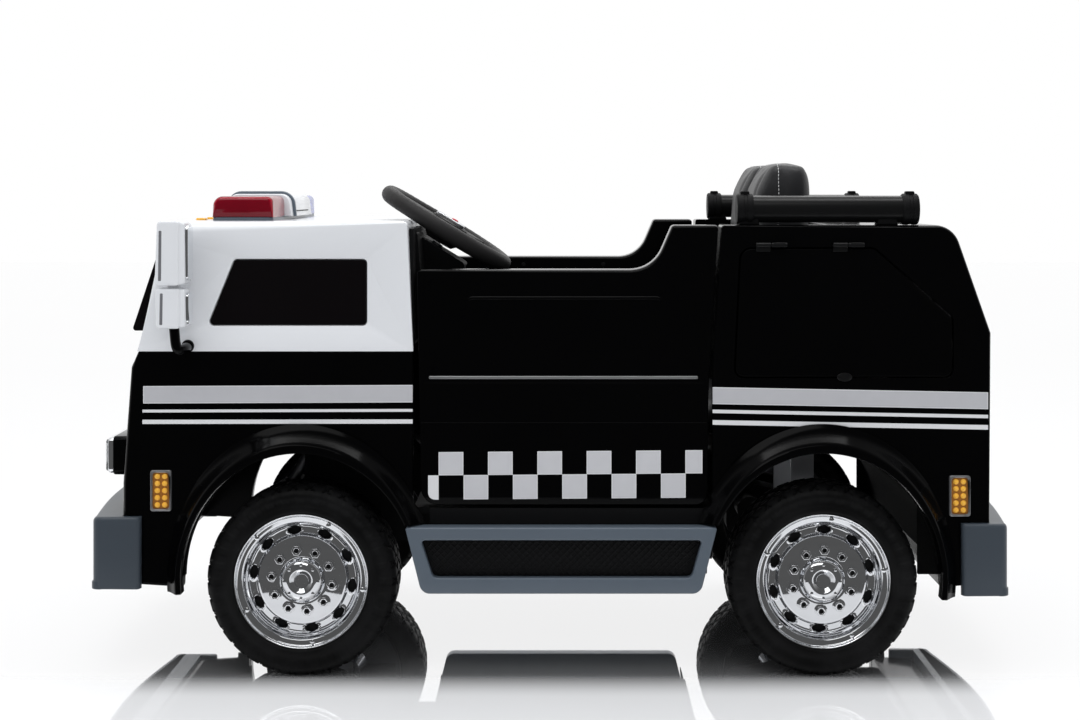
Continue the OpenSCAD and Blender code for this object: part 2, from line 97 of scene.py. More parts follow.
def rounded(points, steps=8):
    """A closed outline whose corners (x, z, radius) are arcs. Each arc's centre lies on its
    corner's bisector, at the radius over the sine of half the corner's angle."""
    p = np.array([q[:2] for q in points], float)
    pieces = []
    for a, b, c, r in zip(np.roll(p, 1, 0), p, np.roll(p, -1, 0), [q[2] for q in points]):
        if r <= 0:
            pieces.append(b[None])
            continue
        u, v = unit(a - b), unit(c - b)
        half = math.acos(np.clip(u @ v, -1, 1)) / 2
        mid = b + unit(u + v) * r / math.sin(half)
        start = b + u * r / math.tan(half) - mid
        stop = b + v * r / math.tan(half) - mid
        first = math.atan2(start[1], start[0])
        sweep = (math.atan2(stop[1], stop[0]) - first + math.pi) % TURN - math.pi
        t = first + sweep * np.linspace(0, 1, steps + 1)
        pieces.append(mid + r * np.stack([np.cos(t), np.sin(t)], 1))
    return np.concatenate(pieces)


def box_line(x0, x1, z0, z1, r=0.0, steps=4):
    """A rounded rectangle."""
    return rounded([(x0, z0, r), (x1, z0, r), (x1, z1, r), (x0, z1, r)], steps)


def oval(cx, cz, a, b, start, stop, n):
    """Points of an ellipse from one angle to another, in degrees."""
    t = np.radians(np.linspace(start, stop, n))
    return np.stack([cx + a * np.cos(t), cz + b * np.sin(t)], 1)


def sharp(points):
    """The points as corners without a radius."""
    return [(x, z, 0) for x, z in points]


def turned_left(loop, left=True):
    """The outline running anticlockwise, or clockwise for a hole. The sign comes from the
    sum of the cross products of its neighbouring points."""
    x, z = loop.T
    area = (x * np.roll(z, -1) - np.roll(x, -1) * z).sum()
    return loop if (area > 0) == left else loop[::-1]


def inset(loop, depth):
    """The outline moved to its left by depth: each point goes along its corner's bisector,
    by depth over the cosine of half the turn."""
    edge = np.roll(loop, -1, 0) - loop
    edge = edge / np.linalg.norm(edge, axis=1, keepdims=True)
    normal = np.stack([-edge[:, 1], edge[:, 0]], 1)
    both = normal + np.roll(normal, 1, 0)
    return loop + 2 * depth * both / (both * both).sum(1, keepdims=True)


ALONG = {"y": (0, 2, 1), "x": (1, 2, 0), "z": (0, 1, 2)}


def plate(loops, lo, hi, r_lo=0.0, r_hi=0.0, along="y", soft=None, steps=4):
    """A closed solid with the outline loops[0] and the holes loops[1:], from lo to hi along
    an axis. Each end's edge is a quarter circle: at angle t the outline is inset by
    r (1 - sin t) and lies r (1 - cos t) from the end. soft scales that inset at each point."""
    loops = [turned_left(np.asarray(lp, float), k == 0) for k, lp in enumerate(loops)]
    t = np.linspace(0, math.pi / 2, steps + 1)
    low = [(r_lo * (1 - math.sin(a)), lo + r_lo * (1 - math.cos(a))) for a in t]
    high = [(r_hi * (1 - math.sin(a)), hi - r_hi * (1 - math.cos(a))) for a in t[::-1]]
    rings = (low if r_lo else [(0, lo)]) + (high if r_hi else [(0, hi)])
    u, v, w = ALONG[along]
    verts, quads, ends = [], [], ([], [])
    count = 0
    for loop in loops:
        scale = np.ones(len(loop)) if soft is None else soft(loop)
        grid = np.zeros((len(rings), len(loop), 3))
        for k, (depth, level) in enumerate(rings):
            grid[k][:, [u, v]] = inset(loop, depth * scale[:, None])
            grid[k][:, w] = level
        points, faces = lattice(grid, wrap_v=True)
        verts.append(points)
        quads.append(faces[0] + count)
        ends[0].append((count + np.arange(len(loop)), points[:len(loop)]))
        last = count + (len(rings) - 1) * len(loop)
        ends[1].append((last + np.arange(len(loop)), points[-len(loop):]))
        count += len(points)
    caps = []
    for end in ends:
        index = np.concatenate([i for i, _ in end])
        flat = [np.insert(p[:, [u, v]], 2, 0, axis=1).tolist() for _, p in end]
        caps.append(index[np.array(tessellate_polygon(flat))])
    return np.concatenate(verts), quads + caps


def lattice(grid, wrap_u=False, wrap_v=False, poles=False):
    """Quads over a grid of points. A wrapped side joins its last row to its first. With
    poles, the first and last columns are one point each."""
    core = grid[:, 1:-1] if poles else grid
    rows, columns = core.shape[:2]
    index = np.arange(rows * columns).reshape(rows, columns)
    if wrap_u:
        index = np.concatenate([index, index[:1]], 0)
    if wrap_v:
        index = np.concatenate([index, index[:, :1]], 1)
    quads = np.stack([index[:-1, :-1], index[1:, :-1], index[1:, 1:], index[:-1, 1:]], -1)
    points, faces = core.reshape(-1, 3), [quads.reshape(-1, 4)]
    if poles:
        points = np.concatenate([points, grid[:1, 0], grid[:1, -1]])
        for pole, column in ((len(points) - 2, 0), (len(points) - 1, -1)):
            a, b = index[:-1, column], index[1:, column]
            faces.append(np.stack([np.full_like(a, pole), a, b], -1))
    return points, faces


def revolved(profile, centre, along="y", n=64, side=1, ring=False):
    """A profile of (radius, height) turned about an axis through the centre. A ring is a
    closed profile; any other starts and ends on the axis."""
    radius, height = np.array(profile, float).T
    t = np.linspace(0, TURN, n, endpoint=False)[:, None]
    u, v, w = ALONG[along]
    grid = np.zeros((n, len(radius), 3))
    grid[..., u] = centre[u] + radius * np.cos(t)
    grid[..., v] = centre[v] + radius * np.sin(t)
    grid[..., w] = centre[w] + side * height
    return lattice(grid, wrap_u=True, wrap_v=ring, poles=not ring)


def tube(path, radius, flat=(0, 1, 0), n=14, loop=False):
    """A circle carried along a path that lies in a plane with normal flat: at each point the
    circle's axes are that normal and its cross product with the path's direction."""
    path = np.asarray(path, float)
    if loop:
        along = np.roll(path, -1, 0) - np.roll(path, 1, 0)
    else:
        along = np.gradient(path, axis=0)
    along /= np.linalg.norm(along, axis=1, keepdims=True)
    flat = unit(np.array(flat, float))
    across = np.cross(flat, along)
    across /= np.linalg.norm(across, axis=1, keepdims=True)
    second = np.cross(along, across)
    radius = np.broadcast_to(radius, len(path)).astype(float)
    t = np.linspace(0, TURN, n, endpoint=False)
    circle = np.cos(t)[:, None, None] * across + np.sin(t)[:, None, None] * second
    grid = path + circle * radius[:, None]
    if loop:
        return lattice(grid, wrap_u=True, wrap_v=True)
    centre = np.broadcast_to(path, grid.shape)
    grid = np.concatenate([centre[:, :1], grid, centre[:, -1:]], 1)
    return lattice(grid, wrap_u=True, poles=True)


def joined(*parts):
    """Several surfaces as one."""
    verts, faces, count = [], [], 0
    for points, groups in parts:
        verts.append(points)
        faces += [np.asarray(g) + count for g in groups if len(g)]
        count += len(points)
    return np.concatenate(verts), faces


def moved(part, offset=(0, 0, 0), scale=(1, 1, 1)):
    return part[0] * np.array(scale, float) + np.array(offset, float), part[1]


def both_sides(*parts):
    """The surfaces and their mirror images across the middle plane."""
    part = joined(*parts)
    return joined(part, moved(part, scale=(1, -1, 1)))


def on_side(side, *parts):
    """Left-hand surfaces as one, mirrored when the side is the right."""
    return moved(joined(*parts), scale=(1, 1 if side == "left" else -1, 1))


def in_axes(part, origin, axes):
    """A surface drawn in its own axes, put at an origin with those axes as rows."""
    return part[0] @ np.array(axes, float) + np.array(origin, float), part[1]


def build(name, body, slot, material, *parts, replaces=(), angle=38):
    """One piece from surfaces in millimetres, with its faces turned outwards."""
    points, faces = joined(*parts)
    mesh = bpy.data.meshes.new(name)
    mesh.from_pydata((points * MM).tolist(), [], [f for group in faces for f in group.tolist()])
    work = bmesh.new()
    work.from_mesh(mesh)
    bmesh.ops.recalc_face_normals(work, faces=work.faces)
    work.to_mesh(mesh)
    work.free()
    mesh.polygons.foreach_set("use_smooth", [True] * len(mesh.polygons))
    mesh.set_sharp_from_angle(angle=math.radians(angle))
    return place(bpy.data.objects.new(name, mesh), body, material, replaces)


def place(piece, body, material, replaces=()):
    """Puts a finished mesh in the scene with a finish from the table, under its body."""
    if piece.name not in bpy.context.scene.collection.objects:
        bpy.context.scene.collection.objects.link(piece)
    piece.data.materials.clear()
    piece.data.materials.append(finish(material))
    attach(piece, body)
    if replaces:
        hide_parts(*replaces)
    return piece


# ---- materials -------------------------------------------------------------------------

class Field:
    """A value that varies over a surface: one socket, with arithmetic."""

    def __init__(self, tree, socket):
        self.tree = tree
        self.socket = socket

    def _math(self, operation, *values):
        node = self.tree.nodes.new("ShaderNodeMath")
        node.operation = operation
        for slot, value in zip(node.inputs, values):
            if isinstance(value, Field):
                self.tree.links.new(value.socket, slot)
            else:
                slot.default_value = value
        return Field(self.tree, node.outputs[0])

    def __add__(self, other):
        return self._math("ADD", self, other)

    __radd__ = __add__

    def __sub__(self, other):
        return self._math("SUBTRACT", self, other)

    def __rsub__(self, other):
        return self._math("SUBTRACT", other, self)

    def __mul__(self, other):
        return self._math("MULTIPLY", self, other)

    __rmul__ = __mul__

    def smooth(self, low, high):
        """0 below low, 1 above high, and t t (3 - 2 t) between."""
        t = (self - low) * (1 / (high - low))
        t = t._math("MINIMUM", t._math("MAXIMUM", t, 0.0), 1.0)
        return t * t * (3.0 - 2.0 * t)


class Shading:
    """A node tree under way, emptied of what it held."""

    def __init__(self, owner):
        owner.use_nodes = True
        self.tree = owner.node_tree
        self.tree.nodes.clear()

    def node(self, kind, settings=None, inputs=None):
        """A node of a kind: its settings first, then values or links for its sockets, by
        name or place. Its outputs come back by name and by place."""
        made = self.tree.nodes.new("ShaderNode" + kind)
        for key, value in (settings or {}).items():
            setattr(made, key, value)
        for key, value in (inputs or {}).items():
            if isinstance(value, Field):
                self.tree.links.new(value.socket, made.inputs[key])
            else:
                made.inputs[key].default_value = value
        fields = [Field(self.tree, out) for out in made.outputs]
        return dict(zip([*made.outputs.keys(), *range(len(fields))], fields * 2))


class Finish(Shading):
    """A material under way: one Principled shader and the nodes that feed it."""

    def __init__(self, name, **constants):
        self.material = bpy.data.materials.new(name)
        super().__init__(self.material)
        values = {key.replace("_", " "): value for key, value in constants.items()}
        shader = self.node("BsdfPrincipled", inputs=values)[0]
        self.shader = shader.socket.node
        self.node("OutputMaterial", inputs={"Surface": shader})
        self.where = self.node("TexCoord")["Object"]

    def noise(self, scale, detail=2.0, stretch=None):
        where = self.where
        if stretch:
            where = self.node("Mapping", inputs={"Vector": where, "Scale": stretch})[0]
        return self.node("TexNoise", inputs={"Vector": where, "Scale": scale,
                                             "Detail": detail})["Fac"]

    def cells(self, scale, feature="F1", output="Distance"):
        return self.node("TexVoronoi", {"feature": feature},
                         {"Vector": self.where, "Scale": scale})[output]

    def waves(self, scale, direction="X"):
        return self.node("TexWave", {"bands_direction": direction},
                         {"Vector": self.where, "Scale": scale})["Fac"]

    def blend(self, amount, low, high):
        """A colour between two, by a field."""
        return self.node("Mix", {"data_type": "RGBA"},
                         {0: amount, 6: (*low, 1), 7: (*high, 1)})[2]

    def colour(self, field):
        self.tree.links.new(field.socket, self.shader.inputs["Base Color"])

    def metal(self, field):
        self.tree.links.new(field.socket, self.shader.inputs["Metallic"])

    def rough(self, field):
        self.tree.links.new(field.socket, self.shader.inputs["Roughness"])

    def bump(self, height, strength, distance):
        made = self.node("Bump", inputs={"Height": height, "Strength": strength,
                                         "Distance": distance})
        self.tree.links.new(made["Normal"].socket, self.shader.inputs["Normal"])


def gloss_shell(name, colour, specular=0.5, rough=0.16, tint=0.9):
    """Moulded gloss plastic: the faint orange peel of its mould, soft clouds of gloss, and
    a little dust in fine specks that dull it."""
    f = Finish(name, Specular_IOR_Level=specular)
    clouds = f.noise(5.0, 3.0)
    specks = f.noise(900.0, 1.0).smooth(0.62, 0.8)
    f.colour(f.blend(clouds * 0.7 + specks * 0.3, tuple(c * tint for c in colour), colour))
    f.rough(clouds * 0.08 + specks * 0.1 + (rough - 0.04))
    f.bump(f.noise(160.0, 2.0) * 0.7 + clouds * 0.3, 0.06, 0.0006)
    return f.material


def grained_shell(name, colour, rough=0.55, scale=700.0):
    """Moulded matt plastic with a fine leather-like grain."""
    f = Finish(name, Specular_IOR_Level=0.16)
    grain = f.cells(scale)
    clouds = f.noise(9.0, 3.0)
    f.colour(f.blend(clouds, tuple(c * 0.8 for c in colour), tuple(c * 1.15 for c in colour)))
    f.rough(grain * 0.12 + clouds * 0.1 + (rough - 0.1))
    f.bump(grain, 0.35, 0.0003)
    return f.material


def plated(name, colour=(0.80, 0.81, 0.83), rough=0.03):
    """Bright plating over moulded plastic: a slight waviness and faint wiped smears."""
    f = Finish(name, Metallic=1.0)
    smears = f.noise(14.0, 4.0, (1, 1, 6))
    f.colour(f.blend(smears, tuple(c * 0.88 for c in colour), colour))
    f.rough(smears * 0.05 + (rough - 0.015))
    f.bump(f.noise(60.0, 1.0), 0.05, 0.0006)
    return f.material


def zinc(name):
    """Zinc plated steel: crystalline flakes and dull patches."""
    f = Finish(name, Metallic=1.0)
    flakes = f.cells(260.0, output="Color")
    dull = f.noise(22.0, 3.0)
    f.colour(f.blend(dull, (0.42, 0.43, 0.45), (0.60, 0.61, 0.63)))
    f.rough(dull * 0.25 + 0.25)
    f.bump(flakes, 0.12, 0.0002)
    return f.material


def lens(name, deep, bright, scale=260.0, direction="X"):
    """A moulded lens: flutes inside clear plastic, each crest lighter as a painted highlight."""
    f = Finish(name, Specular_IOR_Level=0.3, Coat_Weight=0.25, Coat_Roughness=0.03)
    flutes_and_highlight = f.waves(scale, direction)
    # Painted highlight: the colour runs from deep in the troughs to bright on the flute crests.
    f.colour(f.blend(flutes_and_highlight * 0.8 + f.noise(30.0) * 0.2, deep, bright))
    f.rough(flutes_and_highlight * 0.06 + 0.1)
    f.bump(flutes_and_highlight, 0.12, 0.0006)
    return f.material


def rubber(name):
    """Moulded tyre: near black with pale dust in patches and a fine pitted skin."""
    f = Finish(name, Specular_IOR_Level=0.12)
    dust = f.noise(16.0, 5.0)
    pits = f.cells(900.0)
    f.colour(f.blend(dust.smooth(0.35, 0.8), (0.0022, 0.0022, 0.0023), (0.008, 0.008, 0.0085)))
    f.rough(dust * 0.25 + 0.42)
    f.bump(pits * 0.6 + dust * 0.4, 0.3, 0.0005)
    return f.material


def leatherette(name):
    """Imitation leather: pebbled cells, with creases that catch less light."""
    f = Finish(name, Specular_IOR_Level=0.3)
    pebbles = f.cells(420.0, "SMOOTH_F1")
    folds = f.noise(28.0, 4.0)
    f.colour(f.blend(folds, (0.014, 0.014, 0.015), (0.034, 0.034, 0.036)))
    f.rough(folds * 0.18 + pebbles * 0.1 + 0.3)
    f.bump(pebbles * 0.5 + folds * 0.5, 0.5, 0.0009)
    return f.material


def vinyl(name, colour):
    """Printed film with a satin face and slightly uneven ink."""
    f = Finish(name, Specular_IOR_Level=0.4)
    ink = f.noise(70.0, 3.0)
    f.colour(f.blend(ink, tuple(c * 0.93 for c in colour), colour))
    f.rough(ink * 0.12 + 0.3)
    f.bump(f.noise(240.0, 1.0), 0.04, 0.0003)
    return f.material


def clear_cover(name):
    """Clear moulded cover over the lamps, with faint flutes whose crests are a little lighter:
    a painted highlight.
    """
    f = Finish(name, Transmission_Weight=1.0, IOR=1.45)
    flutes_and_highlight = f.waves(90.0, "Y")
    # Painted highlight: the tint is a little lighter on the flute crests.
    f.colour(f.blend(flutes_and_highlight, (0.93, 0.95, 0.96), (0.98, 0.99, 1.0)))
    f.rough(flutes_and_highlight * 0.04 + 0.02)
    f.bump(flutes_and_highlight, 0.15, 0.0005)
    return f.material


RECIPES = {
    "black gloss": (gloss_shell, "black", 0.07, 0.14, 0.5),
    "white gloss": (gloss_shell, "white", 0.5, 0.2, 0.97),
    "black satin": (gloss_shell, (0.005, 0.005, 0.0052), 0.22, 0.3),
    "slate satin": (gloss_shell, "slate", 0.45, 0.3, 0.85),
    # The bumpers' slate is by default the steps' slate at half its brightness: painted shade for
    # the light falling off at the truck's ends.
    "slate dark": (gloss_shell, "dark_slate", 0.3, 0.35, 0.85),
    "dark screen": (gloss_shell, (0.004, 0.003, 0.0035), 0.15, 0.1, 0.6),
    "black grain": (grained_shell, (0.004, 0.004, 0.0045)),
    "grip grain": (grained_shell, (0.022, 0.021, 0.021), 0.5, 420.0),
    "grey case": (grained_shell, (0.16, 0.16, 0.17), 0.6),
    "matt liner": (grained_shell, (0.0016, 0.0016, 0.0016), 0.85),
    "chrome": (plated,),
    "mirror": (plated, (0.86, 0.88, 0.9), 0.03),
    "silver paint": (plated, (0.6, 0.61, 0.63), 0.3),
    "dull silver": (plated, (0.42, 0.42, 0.43), 0.45),
    "zinc": (zinc,),
    "tyre": (rubber,),
    "leatherette": (leatherette,),
    "thread": (vinyl, (0.75, 0.75, 0.74)),
    "pale film": (vinyl, (0.48, 0.48, 0.50)),
    "check film": (vinyl, (0.55, 0.55, 0.57)),
    "white film": (vinyl, (0.72, 0.72, 0.73)),
    # The second colour of each lens is a painted highlight, laid on its flute crests.
    "amber lens": (lens, (0.75, 0.28, 0.01), (1.0, 0.62, 0.10)),
    "amber bed": (lens, (0.22, 0.08, 0.012), (0.36, 0.15, 0.03)),
    "red lens": (lens, (0.13, 0.0, 0.006), (0.34, 0.002, 0.016), 60, "Y"),
    "tail lens": (lens, (0.32, 0.0, 0.01), (0.7, 0.01, 0.03), 200, "Z"),
    "blue lens": (lens, (0.0, 0.012, 0.25), (0.01, 0.07, 0.6), 60, "Y"),
    "clear lens": (lens, (0.55, 0.57, 0.6), (0.85, 0.87, 0.9), 200, "Y"),
    "clear cover": (clear_cover,),
}
made = {}


def finish(name):
    """A material by its name in the table, made when first asked for."""
    if name not in made:
        recipe, *values = RECIPES[name]
        if values and isinstance(values[0], str):
            values[0] = tuple(getattr(bpy.context.scene.truck_colours, values[0]))
        made[name] = recipe(name, *values)
    return made[name]


def dress(material, *nodes):
    """Gives nodes whose own shape stays a material."""
    for node in nodes:
        mesh = frame["nodes"][node].data
        mesh.materials.clear()
        mesh.materials.append(finish(material))


# ---- outlines shared by pieces ---------------------------------------------------------

def arch_line(cx, start, stop):
    return oval(cx, WHEEL_R, ARCH_A, ARCH_B, start, stop, 40)


def arch_liner(cx, start, stop, y0, y1):
    """A thin sheet under an arch: between the arch's own ellipse and one 1.3 smaller."""
    over = oval(cx, WHEEL_R, ARCH_A - 0.1, ARCH_B - 0.1, start, stop, 60)
    under = oval(cx, WHEEL_R, ARCH_A - 1.4, ARCH_B - 1.4, start, stop, 60)
    return plate([np.concatenate([under, over[::-1]])], y0, y1)


def front_side_outline():
    """Side of the front body: waist, nose, the front leg and round the arch to the seam."""
    back = math.degrees(math.acos((SEAM_X - FRONT_ARCH_X) / ARCH_A))
    return rounded([(SEAM_X, WAIST_Z, 0), (548, WAIST_Z, 0), (558, 404, 12), (564, 322, 0),
                    (569, 250, 0), (569, 117, 6), (488, 112, 4),
                    *sharp(arch_line(FRONT_ARCH_X, 1, back))])


def rear_side_outline(deck=None):
    """Side of the rear body: front edge, deck, sloping tail, rear leg and round the arch."""
    front = math.degrees(math.acos((REAR_SEAM_X - REAR_ARCH_X) / ARCH_A))
    top = deck or [(-225, DECK_Z, 3)]
    return rounded([(REAR_SEAM_X, 400, 0), *top, (-532, DECK_Z, 34), (-582, 449, 8),
                    (-579, 117, 6), (-513, 112, 4), *sharp(arch_line(REAR_ARCH_X, 179, front))])


HATCH = [(-249, 562, 16), (-427, 562, 10), (-531, 470, 12), (-531, 390, 12), (-241, 390, 12)]
DOOR = [(180, 533, 6), (-134, 533, 46), (-159.5, DECK_Z, 6), (-221, DECK_Z, 5), (-208, 400, 0),
        (-206, 221, 16), (173, 221, 22)]
SIDE_PANE = [(420, 546, 5), (246, 546, 5), (246, 460, 5), (455, 460, 5)]


def quad_film(x0, x1, z0, z1, drop=0.0, thick=0.3):
    """A strip of film on the flat side, drop lower at its rear end x1 than at its front."""
    corners = [(x0, z0), (x1, z0 - drop), (x1, z1 - drop), (x0, z1)]
    return plate([corners], HALF_W, HALF_W + thick)


def fade(distance, reach, least):
    """From least at no distance to 1 at reach and beyond."""
    return np.clip(distance / reach, least, 1)


# ---- settings --------------------------------------------------------------------------

class TruckColours(bpy.types.PropertyGroup):
    black: bpy.props.FloatVectorProperty(
        name="Body black", description="Colour of the dark gloss shells", subtype="COLOR",
        size=3, min=0, max=1, default=(0.0014, 0.0014, 0.0016))
    white: bpy.props.FloatVectorProperty(
        name="Cab white", description="Colour of the cab and mirrors", subtype="COLOR",
        size=3, min=0, max=1, default=(0.76, 0.77, 0.79))
    slate: bpy.props.FloatVectorProperty(
        name="Trim slate", description="Colour of the steps and fascia", subtype="COLOR",
        size=3, min=0, max=1, default=(0.10, 0.125, 0.155))
    # Painted shade: by default the trim slate at half its brightness, for the bumpers, which take
    # less light at the truck's ends.
    dark_slate: bpy.props.FloatVectorProperty(
        name="Bumper slate with painted shade", description="Colour of the bumpers", subtype="COLOR",
        size=3, min=0, max=1, default=(0.05, 0.0625, 0.0775))


class TruckSizes(bpy.types.PropertyGroup):
    body_edge: bpy.props.FloatProperty(
        name="Body edge", description="Radius of the dark shells' side edges, in millimetres",
        min=2, max=13, default=9)
    cab_edge: bpy.props.FloatProperty(
        name="Cab edge", description="Radius of the cab's side edges, in millimetres",
        min=2, max=17, default=16)
    tread_blocks: bpy.props.IntProperty(
        name="Tread blocks", description="Blocks round one tyre", min=12, max=60, default=34)
    tread_depth: bpy.props.FloatProperty(
        name="Tread depth", description="Depth of the tyre's grooves, in millimetres",
        min=0, max=8, default=4.5)
    wheel_nuts: bpy.props.IntProperty(
        name="Wheel nuts", description="Nuts and vents on each wheel", min=4, max=12, default=10)
    seat_swell: bpy.props.FloatProperty(
        name="Seat swell", description="Most that a seat pad may swell, in millimetres",
        min=0, max=16, default=5)


class TruckStage(bpy.types.PropertyGroup):
    distance: bpy.props.FloatProperty(
        name="Camera distance", description="Camera's distance from the middle plane",
        unit="LENGTH", min=1, max=10, default=2.792)
    height: bpy.props.FloatProperty(
        name="Camera height", description="Camera's height above the floor", unit="LENGTH",
        min=0, max=3, default=0.6385)
    lens: bpy.props.FloatProperty(
        name="Focal length", description="Camera's focal length in millimetres",
        min=20, max=200, default=63.4)


# ---- pieces ----------------------------------------------------------------------------

class TruckOperator:
    bl_options = {"REGISTER", "UNDO"}


class TRUCK_OT_front_body(TruckOperator, bpy.types.Operator):
    """Dark front shell: two side walls with arches, the hollow nose, and the lining over
    and behind the wheels with its matt liner."""
    bl_idname = "truck.front_body"
    bl_label = "Front body"

    def execute(self, context):
        edge = context.scene.truck_sizes.body_edge
        inner = HALF_W - 14

        def soft(loop):
            x, z = loop.T
            return np.minimum(np.minimum(fade(WAIST_Z - z, 30, 0.15), fade(x - SEAM_X, 40, 0.2)),
                              fade(z - 108, 40, 0.3))

        side = plate([front_side_outline()], inner, HALF_W, 0, edge, soft=soft, steps=6)
        nose = plate([rounded([(548, WAIST_Z, 0), (558, 404, 12), (564, 322, 0), (569, 250, 0),
                               (569, 117, 3), (559, 115, 2), (559, 250, 0), (554, 322, 0),
                               (548, 400, 8), (538, WAIST_Z, 0)])],
                     -inner, inner)

        def ring(low, high, first_x, last_x, y0, y1):
            """Part of the lining between two radii, from one X to another."""
            angles = [[math.degrees(math.acos((x - FRONT_ARCH_X) / r)) for x in (first_x, last_x)]
                      for r in (low, high)]
            under = oval(FRONT_ARCH_X, WHEEL_R, low, low, *angles[0], 40)
            over = oval(FRONT_ARCH_X, WHEEL_R, high, high, *angles[1], 40)
            return plate([np.concatenate([under, over[::-1]])], y0, y1)

        end_x, middle_x, cockpit = 436, 374, 132
        lining = [ring(WELL_R, WELL_R + 10, end_x, SEAM_X + 18, cockpit, inner),
                  ring(WELL_R, WELL_R + 10, end_x, SEAM_X + 18, -inner, -cockpit),
                  ring(WELL_R, WELL_R + 10, end_x, middle_x, -cockpit, cockpit)]
        build("front_body_shell", "truck", "black_shell", "black gloss",
              both_sides(side), nose, *lining, replaces=["front_sides", "front_shell"])
        low, high = WELL_R - 1.4, WELL_R - 0.1
        liner = both_sides(ring(low, high, end_x, 205, cockpit, inner),
                           arch_liner(FRONT_ARCH_X, 1, 174, inner, HALF_W - 1))
        build("front_well_liner", "truck", "black_matte", "matt liner", liner,
              ring(low, high, end_x, middle_x, 1 - cockpit, cockpit - 1))
        return {"FINISHED"}


class TRUCK_OT_cab(TruckOperator, bpy.types.Operator):
    """White cab shell: two side walls with their window openings, roof and sloping front."""
    bl_idname = "truck.cab"
    bl_label = "Cab shell"

    def execute(self, context):
        edge = context.scene.truck_sizes.cab_edge
        outline = rounded([(SEAM_X + 7, ROOF_Z, 6), (514, ROOF_Z, 22), (549, WAIST_Z, 0),
                           (SEAM_X, WAIST_Z, 0)], 10)
        pane = rounded(SIDE_PANE, 6)

        def soft(loop):
            if len(loop) == len(pane):
                return np.full(len(loop), 0.14)
            x, z = loop.T
            return np.minimum(np.clip((z - WAIST_Z) / 90, 0, 1), fade(x - 191, 34, 0.1))

        inner = HALF_W - 18
        side = plate([outline, pane], inner, HALF_W, 0, edge, soft=soft, steps=8)
        wall = 10
        shell = rounded([(SEAM_X + 7, ROOF_Z, 6), (514, ROOF_Z, 22), (549, WAIST_Z, 0),
                         (537, WAIST_Z, 0), (504, ROOF_Z - wall, 14),
                         (SEAM_X + 7, ROOF_Z - wall, 0)], 10)
        build("cab", "truck", "white_shell", "white gloss", both_sides(side),
              plate([shell], -inner, inner), replaces=["cab_shell"])
        return {"FINISHED"}


class TRUCK_OT_windows(TruckOperator, bpy.types.Operator):
    """Smoked side windows set in the cab, and the screen that stands proud of its front."""
    bl_idname = "truck.windows"
    bl_label = "Windows and screen"

    def execute(self, context):
        pane = inset(turned_left(rounded(SIDE_PANE, 6)), 0.2)
        build("side_windows", "truck", "dark_screen", "dark screen",
              both_sides(plate([pane], HALF_W - 14, HALF_W - 1.5, 0, 0.8)),
              replaces=["cab_side_windows"])
        slope = lambda z: 514 + (ROOF_Z - z) * 35 / 172
        section = rounded([(slope(560), 560, 0), (526.5, 560, 1.5), (563, 450, 4),
                           (slope(450), 450, 0)])
        build("screen", "truck", "dark_screen", "dark screen",
              plate([section], -245, 245, 1.4, 1.4), replaces=["windscreen"])
        # Wiper: an arm that ends at the middle of a blade lying on the screen.
        foot, mid = np.array([566.5, 40, 452]), np.array([545.8, -43, 511.5])
        arm = tube(np.linspace(foot, mid, 8), np.linspace(3.2, 2.0, 8), flat=(1, 0, 0.3))
        blade = tube(np.linspace(mid + [6, 70, -18], mid + [-6, -75, 18], 6), 1.7,
                     flat=(1, 0, 0.3))
        build("wiper", "truck", "black_matte", "black grain", arm, blade)
        return {"FINISHED"}


class TRUCK_OT_rear_body(TruckOperator, bpy.types.Operator):
    """Dark storage body: side walls with hatch openings, deck, tail and the seat recess."""
    bl_idname = "truck.rear_body"
    bl_label = "Rear body"

    def execute(self, context):
        edge = context.scene.truck_sizes.body_edge
        recess = 218
        hatch = rounded(HATCH, 8)
        outline = rear_side_outline()

        def soft(loop):
            if len(loop) == len(hatch):
                return np.full(len(loop), 0.12)
            x, z = loop.T
            return np.minimum(fade(REAR_SEAM_X - x, 70, 0.15), fade(z - 108, 50, 0.25)) * 0.55

        side = plate([outline, hatch], 265, HALF_W, 0, min(edge, 9.5), soft=soft, steps=6)
        hollow = [(-519, 582, 14), (-570, 447, 4), (-569, 127, 4), (-524, 127, 4),
                  (-505, 250, 0), (-455, 303, 0), (-382, 303, 0)]
        pocket = rounded([(-240, 380, 3), (-240, 572, 3), (-382, 572, 0), (-382, 582, 0),
                          *hollow, (-382, 380, 0)])
        cavity = rounded([(-382, 582, 0), *hollow])
        around = plate([outline, pocket], recess + 8, 265)
        cheek = plate([outline, cavity], recess, recess + 8)
        deck = [(REAR_SEAM_X, 302, 0), (-372, 302, 2), (-372, DECK_Z, 2), (-385, DECK_Z, 1),
                (-385, DECK_Z - 2, 0), (-500, DECK_Z - 2, 0), (-500, DECK_Z, 1)]
        middle = plate([rear_side_outline(deck)[1:], cavity], -recess, recess)
        build("rear_body_shell", "truck", "black_shell", "black gloss",
              both_sides(side, around, cheek), middle,
              replaces=["rear_sides", "rear_pockets", "rear_middle"])
        build("rear_well_liner", "truck", "black_matte", "matt liner",
              arch_liner(REAR_ARCH_X, 2, 174, -HALF_W + 1, HALF_W - 1),
              both_sides(plate([rounded([(-486, 127, 2), (-521, 127, 1), (-517, 190, 1),
                                         (-500, 226, 1), (-486, 240, 1)])], 258, 260)))
        return {"FINISHED"}


